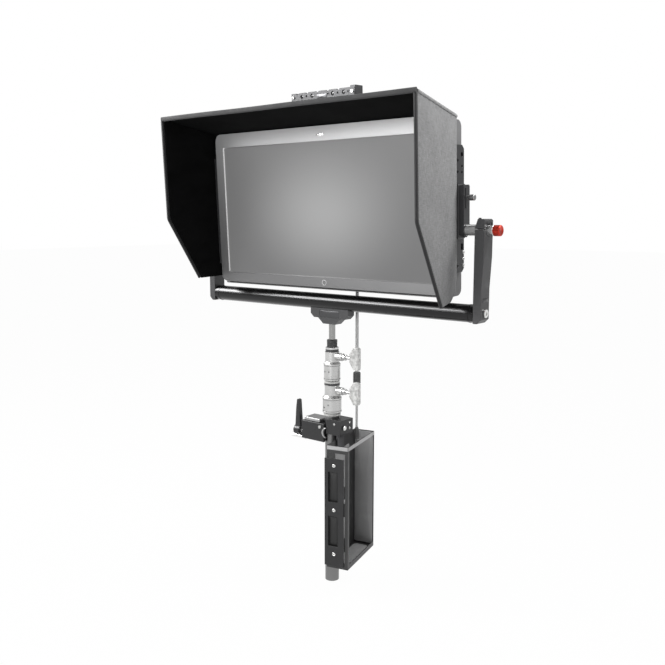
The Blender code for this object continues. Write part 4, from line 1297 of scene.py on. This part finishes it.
@dataclass
class Monitor:
    """Monitor in its cage: a screen with a painted glow, set in a painted bezel whose tone carries painted
    light, a moulded back and two side plates.
    """

    finishes: Finishes
    bezel_front: float = -0.0480
    half_x: float = 0.3110
    half_z: float = 0.1580
    mid_z: float = 0.0456
    sunk: float = 0.0030
    rear: float = 0.0275
    back: float = 0.0480

    def dress(self) -> None:
        """Finishes of the monitor's own solids."""
        f = self.finishes
        # the bezel's finish carries painted light and the screen's finish a painted glow
        repainted(["bezel", "power_button"], f.bezel)
        repainted(["screen"], f.screen)
        repainted(["rear_housing"], f.housing)
        repainted(["cage_plate_left", "cage_plate_right"], f.cage)

    def inner_chamfer(self) -> None:
        """Bright chamfer round the screen: a wedge carried round the opening.

        The loop is a rectangle with small round corners. The wedge falls from the bezel's face to the screen's.
        """
        r, n = 0.0022, 7
        a = np.linspace(0, math.pi / 2, n)
        loops = []
        for inset, y in ((0.0002, 0.0003), (0.0018, self.sunk - 0.0002), (0.0002, self.sunk - 0.0002)):
            w, h, k = self.half_x - inset, self.half_z - inset, max(r - inset, 2e-4)
            turns = [(1, 1, 0), (-1, 1, 1), (-1, -1, 2), (1, -1, 3)]
            loop = [
                np.stack(
                    [
                        sx * (w - k) + k * np.cos(a + q * math.pi / 2),
                        sz * (h - k) + k * np.sin(a + q * math.pi / 2),
                    ],
                    -1,
                )
                for sx, sz, q in turns
            ]
            flat = np.concatenate(loop)
            deep = np.full(len(flat), self.bezel_front + y)
            loops.append(np.stack([flat[:, 0], deep, flat[:, 1] + self.mid_z], -1))
        make_piece(
            "screen_chamfer",
            [Skin(np.stack(loops), loop_rows=True, loop_cols=True)],
            [self.finishes.chamfer],
            "display",
            ROCK,
            25.0,
        )

    def badge_and_mark(self) -> None:
        """A bare badge plate above the screen, and a ring round the power button."""
        front = self.bezel_front - 0.00002
        badge = plate_skin((0.0100, front, 0.2164), *FACING_FRONT, (0.0230, 0.0052, 0.0009), 0.0014, 0.0003)
        make_piece(
            "blank_badge",
            [badge],
            [self.finishes.chamfer],
            "display",
            ROCK,
        )
        profile = [(0.0052, 0.0), (0.0066, 0.0), (0.0066, 0.0004), (0.0052, 0.0004)]
        ring = turned(profile, (0.0100, front, -0.1240), Axis.FRONT, 40)
        ring.loop_rows = True
        make_piece("button_ring", [ring], [self.finishes.chamfer], "display", ROCK)

    def fasteners(self) -> None:
        """Socket heads on both cage plates, joined in one piece for each side."""
        seats = [(0.0204, z) for z in (-0.0485, -0.0625, -0.0765)]
        seats += [(-0.0050, z) for z in (0.1460, 0.1220, -0.0760)]
        for word, side, axis in (("right", 1, Axis.X), ("left", -1, Axis.LEFT)):
            bright, dark = [], []
            for n, (y, z) in enumerate(seats):
                skin = socket_head((side * 0.34425, y, z), axis, 0.0034, 0.0022)
                (bright if n < 3 else dark).append(skin)
            f = self.finishes
            make_piece(f"cage_screws_bright_{word}", bright, [f.screw], "display", ROCK, 30.0)
            make_piece(f"cage_screws_{word}", dark, [f.black_screw], "display", ROCK, 30.0)

    def back_panel(self) -> None:
        """Behind: two fields of louvres, a mounting plate with four screws and a blank rating plate."""
        y = self.back - 0.0001
        for word, middle in (("left", 0.118), ("right", -0.118)):
            skins = []
            for z in np.linspace(-0.010, 0.130, 15):
                skins.append(
                    plate_skin((middle, y, z), (-1, 0, 0), (0, 0, 1), (0.096, 0.0052, 0.0014), 0.0026, 0.0009)
                )
            make_piece(f"louvres_{word}", skins, [self.finishes.housing], "display", ROCK, 30.0)
        make_piece(
            "mounting_plate",
            [plate_skin((0, y, 0.060), (-1, 0, 0), (0, 0, 1), (0.120, 0.120, 0.0022), 0.008, 0.0008)],
            [self.finishes.cage],
            "display",
            ROCK,
        )
        corners = [(sx * 0.050, y + 0.0021, 0.060 + sz * 0.050) for sx in (-1, 1) for sz in (-1, 1)]
        make_piece(
            "mounting_screws",
            [socket_head(c, Axis.Y, 0.0042, 0.0022) for c in corners],
            [self.finishes.screw],
            "display",
            ROCK,
            30.0,
        )
        make_piece(
            "blank_rating_plate",
            [plate_skin((0, y, -0.050), (-1, 0, 0), (0, 0, 1), (0.075, 0.028, 0.0006), 0.002, 0.0002)],
            [self.finishes.plate],
            "display",
            ROCK,
        )

    def build(self) -> None:
        """Makes every piece of the monitor."""
        self.dress()
        self.inner_chamfer()
        self.badge_and_mark()
        self.fasteners()
        self.back_panel()


@dataclass
class Handle:
    """Carrying handle above the monitor: a drilled front plate, two end blocks and a steel bar."""

    finishes: Finishes
    front: float = -0.0141
    mid_z: float = 0.3100

    def build(self) -> None:
        """Finishes the handle's solids and adds its screws and blank plate."""
        f = self.finishes
        repainted(["handle_front", "handle_end_left", "handle_end_right"], f.cage)
        repainted(["handle_bar"], f.bar)
        heads = [(x, self.front - 0.0001, self.mid_z) for x in (-0.0957, 0.0801)]
        make_piece(
            "handle_screws",
            [socket_head(at, Axis.FRONT, 0.0040, 0.0022) for at in heads],
            [f.screw],
            "display",
            ROCK,
            30.0,
        )
        make_piece(
            "handle_blank_plate",
            [
                plate_skin(
                    (-0.0085, self.front - 0.00002, 0.3065),
                    (1, 0, 0),
                    (0, 0, 1),
                    (0.0300, 0.0090, 0.0008),
                    0.0012,
                    0.0003,
                )
            ],
            [f.plate],
            "display",
            ROCK,
        )


@dataclass
class Yoke:
    """Tube yoke with its centre block, two arms, rocking shafts, brackets and red end knobs."""

    finishes: Finishes
    tube_r: float = 0.0194
    arm_x: float = 0.4030
    arm_out: float = 0.4125
    arm_front: float = -0.0185
    block_front: float = -0.0120
    knob_out: float = 0.4445

    def dress(self) -> None:
        """Finishes of the yoke's own solids."""
        f = self.finishes
        repainted(["yoke_tube"], f.tube)
        repainted(["yoke_block", "arm_left", "arm_right"], f.arm)
        repainted(["arm_bolt_left", "arm_bolt_right"], f.screw)
        repainted(["shaft_left", "shaft_right"], f.shaft)
        repainted(["bracket_left", "bracket_right"], f.cage)
        repainted(["thumb_screw_left", "thumb_screw_right"], f.bar)
        repainted(["end_knob_left", "end_knob_right"], f.red)
        repainted(["yoke_pin"], f.pin)

    def tube_ends(self) -> None:
        """A thin ring at each end of the tube, seated on it beside the arm."""
        for word, side in (("left", -1), ("right", 1)):
            r = self.tube_r
            profile = [(r + 0.00005, 0.0), (r + 0.0007, 0.0003), (r + 0.0007, 0.0037), (r + 0.00005, 0.0040)]
            ring = turned(profile, (side * 0.3780, 0, TUBE_Z), Axis.X if side > 0 else Axis.LEFT, 64)
            ring.loop_rows = True
            make_piece(f"tube_ring_{word}", [ring], [self.finishes.tube], "yoke", sharp=30.0)

    def plates(self) -> None:
        """Blank plates where the block and the right arm have a recess for one."""
        make_piece(
            "block_blank_plate",
            [
                plate_skin(
                    (0, self.block_front + 0.0009, TUBE_Z - 0.0296),
                    (1, 0, 0),
                    (0, 0, 1),
                    (0.0590, 0.0158, 0.0007),
                    0.0012,
                    0.0002,
                )
            ],
            [self.finishes.plate],
            "yoke",
        )
        for word, side in (("left", -1), ("right", 1)):
            make_piece(
                f"arm_blank_plate_{word}",
                [
                    plate_skin(
                        (side * self.arm_out, 0.0, TUBE_Z + 0.0300),
                        (0, side, 0),
                        (0, 0, 1),
                        (0.0250, 0.0090, 0.0006),
                        0.0010,
                        0.0002,
                    )
                ],
                [self.finishes.plate],
                "yoke",
            )

    def screws(self) -> None:
        """Set screws on the shafts and pinch screws on the arms."""
        f = self.finishes
        for word, side in (("left", -1), ("right", 1)):
            make_piece(
                f"pinch_screw_{word}",
                [socket_head((side * self.arm_x, self.arm_front + 0.0045, 0.9090), Axis.Z, 0.0030, 0.0022)],
                [f.black_screw],
                "yoke",
                sharp=30.0,
            )
            make_piece(
                f"shaft_set_screw_{word}",
                [socket_head((side * 0.4212, 0, SHAFT_Z + 0.0113), Axis.Z, 0.0030, 0.0055)],
                [f.black_screw],
                "cradle",
                sharp=30.0,
            )

    def knob_faces(self) -> None:
        """A turned face with a shallow dish on the outer end of each red knob."""
        rim = [(0.0100, 0.0), (0.0102, 0.0002), (0.0098, 0.0007), (0.0088, 0.0007), (0.0080, 0.0003)]
        profile = [(0.0001, 0.0), *rim, (0.0001, 0.0002)]
        for word, side, axis in (("left", -1, Axis.LEFT), ("right", 1, Axis.X)):
            face = turned(profile, (side * (self.knob_out + 0.0001), 0, SHAFT_Z), axis, 48)
            make_piece(f"knob_face_{word}", [face], [self.finishes.red], f"knob_{word}", sharp=30.0)

    def build(self) -> None:
        """Makes every piece of the yoke."""
        self.dress()
        self.knob_faces()
        self.tube_ends()
        self.plates()
        self.screws()


@dataclass
class StandTop:
    """Column, sliding risers, cast collars with wing screws and the spigot adapter."""

    finishes: Finishes
    cup_1: tuple[float, float] = (0.5385, 0.0202)
    cup_2: tuple[float, float] = (0.4565, 0.0232)

    def build(self) -> None:
        """Finishes the stand's solids and adds rivets on the cups."""
        f = self.finishes
        repainted(["column_tube"], f.column)
        repainted(["column_plug", "ring_lower", "ring_upper"], f.ring)
        repainted(["riser_lower", "riser_upper"], f.riser)
        repainted(["collar_lower", "collar_upper"], f.casting)
        repainted(["bumper_lower", "bumper_upper"], f.bumper)
        repainted(["wing_screw_lower", "wing_screw_upper"], f.wing)
        repainted(["adapter_flange"], f.flange)
        repainted(["adapter_knurl"], f.black_metal)
        self.bands()
        facing = np.array([math.sin(math.radians(14)), -math.cos(math.radians(14)), 0.0])
        for word, body, (z, r) in (("upper", "first_riser", self.cup_1), ("lower", "stand", self.cup_2)):
            turn = Matrix.Rotation(math.radians(14), 4, "Z")
            place = Matrix.Translation(Vector(facing * (r - 0.0003)) + Vector((0, 0, z))) @ turn
            make_piece(
                f"collar_rivet_{word}",
                [socket_head((0, 0, 0), Axis.FRONT, 0.0019, 0.0007, 0.5, 24)],
                [f.black_screw],
                body,
                place,
                30.0,
            )

    def band(self, radius: float, low: float, high: float, proud: float) -> Skin:
        """One thin band round the column, seated on a turned face."""
        r, e = radius + 0.00004, 0.35 * proud
        out = r + proud
        profile = [(r, low), (out - e, low), (out, low + e), (out, high - e), (out - e, high), (r, high)]
        ring = turned(profile, (0, 0, 0), Axis.Z, 72)
        ring.loop_rows = True
        return ring

    def bands(self) -> None:
        """Machined bands on the cups and necks, and thin dark rings beside them that paint the shade in the
        grooves.
        """
        f = self.finishes
        for word, body, cup, top, neck, end in (
            ("upper", "first_riser", 0.0202, 0.5625, 0.0172, 0.5870),
            ("lower", "stand", 0.0232, 0.4790, 0.0186, 0.5040),
        ):
            foot = top - (0.0480 if word == "upper" else 0.0450)
            step = 0.0050 if word == "upper" else 0.0060
            bright = [
                self.band(cup, top - step - 0.0042, top - step - 0.0002, 0.0006),
                self.band(cup, foot + 0.0023, foot + 0.0058, 0.0005),
            ]
            bright.append(self.band(neck, end - 0.0014, end - 0.0001, 0.0007))
            # painted shade: dark rings stand in for the shadow in the grooves beside the bands
            dark = [
                self.band(cup, top - step - 0.0050, top - step - 0.0042, 0.0002),
                self.band(cup, foot + 0.0058, foot + 0.0066, 0.0002),
            ]
            make_piece(f"collar_bands_{word}", bright, [f.casting], body, sharp=30.0)
            make_piece(f"collar_painted_shade_lines_{word}", dark, [f.painted_groove_shade], body, sharp=30.0)


@dataclass
class Clamp:
    """Clamp on the column with its screw, ratchet lever and small release lever."""

    finishes: Finishes
    front: float = -0.0260
    right: float = 0.0460

    def build(self) -> None:
        """Finishes the clamp's solids and adds its screws and a spring."""
        f = self.finishes
        repainted(["clamp_fixed_jaw", "clamp_sliding_jaw", "clamp_lever"], f.clamp)
        repainted(["clamp_top_plate"], f.clamp_grey)
        repainted(["clamp_bolt"], f.screw)
        repainted(["clamp_screw", "clamp_guide"], f.shaft)
        repainted(["release_lever"], f.clamp_grey)
        seats = [(self.right - 0.0001, 0.0100, z) for z in (0.4145, 0.4000)]
        right = [socket_head(at, Axis.X, 0.0030, 0.0018) for at in seats]
        make_piece("clamp_side_screws", right, [f.screw], "stand", sharp=30.0)
        front = [socket_head((0.0280, self.front + 0.0001, 0.4130), Axis.FRONT, 0.0030, 0.0020)]
        make_piece("clamp_front_screw", front, [f.screw], "stand", sharp=30.0)
        jaw = [socket_head((-0.0180, self.front + 0.0001, 0.3990), Axis.FRONT, 0.0042, 0.0026)]
        make_piece("jaw_front_screw", jaw, [f.screw], "clamp_slider", sharp=30.0)
        turns = np.linspace(0, 2 * math.pi * 9, 9 * 18)
        path = np.stack(
            [
                -0.0795 - 0.0100 * turns / turns[-1],
                -0.0050 + 0.0082 * np.cos(turns),
                0.3745 + 0.0082 * np.sin(turns),
            ],
            -1,
        )
        wire = carried(oval(0.0013, 0.0013, 2.0, 8), path, (1, 0, 0))
        make_piece("clamp_spring", wire, [f.screw], "clamp_slider", sharp=60.0)


@dataclass
class Holder:
    """Open sheet-metal box beside the column with a slotted front plate."""

    finishes: Finishes
    front: float = -0.0863

    def build(self) -> None:
        """Finishes the holder's solids and adds its plate screws and hanger bolt."""
        f = self.finishes
        repainted(["holder_box"], f.sheet)
        repainted(["holder_plate"], f.front_sheet)
        repainted(["holder_hanger"], f.anodised)
        self.panels_with_painted_light()
        seats = [(-0.0070, self.front + 0.0001, z) for z in (0.3265, 0.2160, 0.1050)]
        heads = [socket_head(at, Axis.FRONT, 0.0046, 0.0028, 0.5) for at in seats]
        make_piece("holder_plate_screws", heads, [f.screw], "stand", HOLDER, 30.0)
        bolt = [socket_head((-0.02770, -0.0160, 0.3560), Axis.LEFT, 0.0044, 0.0030)]
        make_piece("holder_hanger_bolt", bolt, [f.black_screw], "stand", HOLDER, 30.0)

    def panels_with_painted_light(self) -> None:
        """Painted light inside the holder: grey lining panels that paint the sheen of the black inner walls,
        near-black inserts behind the front plate's windows that paint the shade in them, and pale rails that
        paint the highlight along the top rim.

        The box is 2·0.02775 m wide, 2·0.083 m deep and 0.0015 m thick. Its floor's upper face is at 0.0695 m.
        """
        f = self.finishes
        wall, rear, floor = -0.02625, 0.0815, 0.0695
        # painted sheen: grey panels stand in for the light on the black inner walls
        panels = [
            plate_skin((0.0002, rear, 0.2230), *FACING_FRONT, (0.0500, 0.2980, 0.0010), 0.0040, 0.0004),
            plate_skin((wall, 0.0035, 0.2922), *FACING_RIGHT, (0.0870, 0.1055, 0.0010), 0.0040, 0.0004),
            plate_skin((wall, 0.0035, 0.1540), *FACING_RIGHT, (0.0870, 0.1020, 0.0010), 0.0040, 0.0004),
            plate_skin((-0.0010, 0.0080, floor), *FACING_UP, (0.0390, 0.1270, 0.0010), 0.0080, 0.0004),
        ]
        make_piece("holder_painted_sheen_linings", panels, [f.painted_sheen_liner], "stand", HOLDER)
        # painted shade: near-black plates fill the windows, where the inside lies in shade
        painted_shade_inserts = []
        for z in (0.2725, 0.1620):
            for y, sizes, corner in (
                (-0.0801, (0.0300, 0.0820, 0.0012), 0.0020),
                (-0.08128, (0.0190, 0.0690, 0.0007), 0.0030),
            ):
                painted_shade_inserts.append(plate_skin((-0.0105, y, z), (1, 0, 0), (0, 0, 1), sizes, corner, 0.0003))
        make_piece("holder_painted_shade_inserts", painted_shade_inserts, [f.insert], "stand", HOLDER)
        # painted highlight: pale strips stand in for the light along the top rim
        painted_highlight_rails = [
            plate_skin((0.02775, 0.0, 0.3688), *FACING_RIGHT, (0.1640, 0.0090, 0.0007), 0.0010, 0.0002),
            plate_skin((0.0, -0.0830, 0.3688), *FACING_FRONT, (0.0540, 0.0090, 0.0007), 0.0010, 0.0002),
        ]
        make_piece("holder_painted_highlight_rails", painted_highlight_rails, [f.painted_highlight_rail], "stand", HOLDER)


@dataclass
class PowerCable:
    """Power cable that hangs straight from the monitor's underside to the holder, with a moulded joint on it.

    Over the moulded joint it is in three stretches and two rubber necks, one across each of two joints between
    stand and monitor.
    """

    finishes: Finishes
    x: float = 0.0472
    y: float = 0.0385
    top: float = SHAFT_Z - 0.1168
    joint_high: float = 0.5358
    joint_low: float = 0.4927
    plug_top: float = 0.3968
    upper_r: float = 0.0040
    lower_r: float = 0.0030

    def line(self, high: float, low: float) -> Array:
        """Middle line of a stretch, straight down."""
        t = np.linspace(0, 1, 24)
        return np.stack([np.full(24, self.x), np.full(24, self.y), high + (low - high) * t], -1)

    def stretch(
        self,
        name: str,
        node: str,
        line: Array,
        radius: float,
        bodies: tuple[str, str] | None = None,
    ) -> bpy.types.Object:
        """One stretch of cable: a circle carried down its line, closed at both ends.

        Args:
            name: Name of the piece.
            node: Solid that it replaces.
            line: Middle line from the top.
            radius: Radius of the cable.
            bodies: The two bodies that it spans; when given, it rides on no body and keeps its place.

        Returns:
            The piece.
        """
        skins = carried(oval(2 * radius, 2 * radius, 2.0, 20), line, (1, 0, 0))
        body = "" if bodies else "stand"
        piece = make_piece(name, skins, [self.finishes.cable], body, sharp=60.0, stands_for=[node])
        if bodies:
            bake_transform(piece)
        2 * radius
        return piece

    def build(self) -> None:
        """Makes both stretches and the tapered relief at the top."""
        f = self.finishes
        repainted(["cable_coupling", "cable_plug"], f.rubber)
        r = self.upper_r
        z = self.top
        ribs = [(r + 0.0003, z - 0.0300)]
        for n in range(6):
            high = z - 0.0300 + 0.0045 * n
            wide = r + 0.0012 + 0.0004 * n
            ribs += [(wide, high + 0.0003), (wide, high + 0.0027)]
            ribs += [(wide - 0.0007, high + 0.0030), (wide - 0.0007, high + 0.0042)]
        ribs += [(r + 0.0040, z - 0.0024), (r + 0.0040, z - 0.0001), (r + 0.0003, z - 0.0001)]
        relief = turned(ribs, (self.x, self.y, 0), Axis.Z, 32)
        relief.loop_rows = True
        sleeve = make_piece("cable_relief", [relief], [f.rubber], "display", sharp=30.0)
        chain = ("stand", "first_riser", "second_riser", "yoke", "cradle", "display")
        cuts = (self.joint_high, 0.5842, 0.6326, 0.7320, 0.7500, self.top)
        necks = []
        for n in (3, 4):
            line = self.line(cuts[n + 1], cuts[n])
            skins = carried(oval(2 * r, 2 * r, 2.0, 20), line, (1, 0, 0))
            neck = make_piece(f"cable_neck_{n - 2}", skins, [f.rubber], "", sharp=60.0)
            chain[n + 1]
            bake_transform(neck)
            necks.append(neck)
        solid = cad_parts
        on_it = (([solid["cable_coupling"]], "connector"), ([], "object"), ([sleeve, *necks], "object"))
        for n, (others, far_end) in enumerate(on_it):
            line = self.line(cuts[n + 1], cuts[n])
            bodies = (chain[n], chain[n + 1])
            self.stretch(f"cable_drop_{n + 1}", "cable_upper", line, r, bodies)
        tail = self.line(self.joint_low, self.plug_top)
        self.stretch("cable_tail", "cable_lower", tail, self.lower_r)


@dataclass
class Studio:
    """Pale floor, plain soft light and the camera at the picture's view."""

    eye: tuple[float, float, float] = (1.206675, -1.504036, 0.912908)
    turn: float = 38.714
    drop: float = 81.758
    lens: float = 43.20
    white: float = 0.975

    def camera(self) -> None:
        """Places the camera and makes it the scene's."""
        data = bpy.data.cameras.new("picture_camera")
        data.lens = self.lens
        data.sensor_width = 36.0
        data.clip_end = 60.0
        seen = bpy.data.objects.new("picture_camera", data)
        seen.location = self.eye
        seen.rotation_euler = (math.radians(self.drop), 0.0, math.radians(self.turn))
        bpy.context.scene.collection.objects.link(seen)
        bpy.context.scene.camera = seen

    def lamp(
        self,
        name: str,
        at: Sequence[float],
        aim: Sequence[float],
        size: tuple[float, float],
        power: float,
        along: Sequence[float] | None = None,
    ) -> bpy.types.Object:
        """Adds one softbox.

        Args:
            name: Its name.
            at: Where it stands.
            aim: What it points at.
            size: Width and height in metres.
            power: Power in watts.
            along: Direction of its width; level when left out.

        Returns:
            The lamp.
        """
        data = bpy.data.lights.new(name, "AREA")
        data.shape = "RECTANGLE"
        data.size, data.size_y = size
        data.energy = power
        box = bpy.data.objects.new(name, data)
        box.location = at
        back = (Vector(at) - Vector(aim)).normalized()
        wide = Vector(along) if along else Vector((0.0, 0.0, 1.0)).cross(back)
        up = back.cross(wide).normalized()
        box.rotation_euler = Matrix((up.cross(back), up, back)).transposed().to_euler()
        bpy.context.scene.collection.objects.link(box)
        return box

    def floor(self) -> None:
        """A wide pale floor that shows white to the camera and keeps a soft shadow."""
        n = 3
        line = np.linspace(-20, 20, n)
        x, y = np.meshgrid(line, line)
        points = np.stack([x, y, 0 * x - 0.0005], -1)
        skin = Skin(points)
        mesh = bpy.data.meshes.new("floor")
        mesh.from_pydata(points.reshape(-1, 3), [], skin.quads(0))
        t = Tree("pale_floor")
        tone = t.noise(t.place(), 2.0)
        pale = t.mix(tone, (0.80, 0.80, 0.80), (0.84, 0.84, 0.84))
        diffuse = t.node("ShaderNodeBsdfDiffuse", {}, {"Color": pale})
        glow = t.node("ShaderNodeEmission", {}, {"Color": (1.0, 1.0, 1.0, 1.0), "Strength": 1.0})
        rays = t.node("ShaderNodeLightPath", output="Is Camera Ray")
        bounced = t.node("ShaderNodeLightPath", output="Is Glossy Ray")
        both = t.node("ShaderNodeMixShader", {}, {0: (rays + bounced) * self.white, 1: diffuse, 2: glow})
        t.node("ShaderNodeOutputMaterial", {}, {"Surface": both})
        mesh.materials.append(t.material)
        ground = bpy.data.objects.new("floor", mesh)
        bpy.context.scene.collection.objects.link(ground)

    def sky(self) -> None:
        """White to the camera and in reflections, and a soft grey as light."""
        world = bpy.data.worlds.new("studio")
        bpy.context.scene.world = world
        world.use_nodes = True
        nodes, links = world.node_tree.nodes, world.node_tree.links
        nodes.clear()
        path = nodes.new("ShaderNodeLightPath")
        add = nodes.new("ShaderNodeMath")
        add.operation = "MAXIMUM"
        links.new(path.outputs["Is Camera Ray"], add.inputs[0])
        links.new(path.outputs["Is Transmission Ray"], add.inputs[1])
        gloss = nodes.new("ShaderNodeMath")
        gloss.operation = "MULTIPLY"
        gloss.inputs[1].default_value = 0.50
        links.new(path.outputs["Is Glossy Ray"], gloss.inputs[0])
        top = nodes.new("ShaderNodeMath")
        top.operation = "MAXIMUM"
        links.new(add.outputs[0], top.inputs[0])
        links.new(gloss.outputs[0], top.inputs[1])
        level = nodes.new("ShaderNodeMath")
        level.operation = "MAXIMUM"
        level.inputs[1].default_value = 0.34
        links.new(top.outputs[0], level.inputs[0])
        back = nodes.new("ShaderNodeBackground")
        back.inputs["Color"].default_value = (1.0, 1.0, 1.0, 1.0)
        links.new(level.outputs[0], back.inputs["Strength"])
        out = nodes.new("ShaderNodeOutputWorld")
        links.new(back.outputs[0], out.inputs["Surface"])

    def build(self) -> None:
        """Sets up camera, lamps, floor and sky."""
        self.camera()
        middle = (0.0, 0.0, 0.80)
        self.lamp("left_softbox", (-1.85, -1.30, 2.00), (-0.15, 0.0, 0.75), (2.0, 0.95), 50.0)
        slope = (2.2, -0.7, -0.85)
        gloss = self.lamp("gloss_strip", (-1.45, -1.30, 1.72), (0.0, 0.0, 0.75), (2.8, 0.50), 72.0, slope)
        gloss.visible_diffuse = False
        self.lamp("front_softbox", (0.60, -2.35, 1.10), (0.1, 0.0, 0.90), (0.8, 0.7), 20.0)
        self.lamp("right_softbox", (2.30, -0.60, 1.75), middle, (0.9, 1.3), 4.5)
        self.lamp("corner_softbox", (0.82, 0.38, 1.66), (0.36, 0.0, 1.05), (0.45, 0.45), 9.0)
        self.lamp("top_softbox", (0.20, -0.20, 2.70), middle, (1.4, 1.0), 10.0)
        self.floor()
        self.sky()


def main() -> None:
    """Builds the scene in order."""
    bpy.context.scene.view_settings.view_transform = "Standard"
    Studio().build()
    finishes = all_finishes()
    PowerCable(finishes).build()
    Hood(finishes).build()
    Monitor(finishes).build()
    Handle(finishes).build()
    Yoke(finishes).build()
    StandTop(finishes).build()
    Clamp(finishes).build()
    Holder(finishes).build()


if __name__ == "__main__":
    logging.basicConfig(level=logging.INFO, format="%(message)s")
    main()
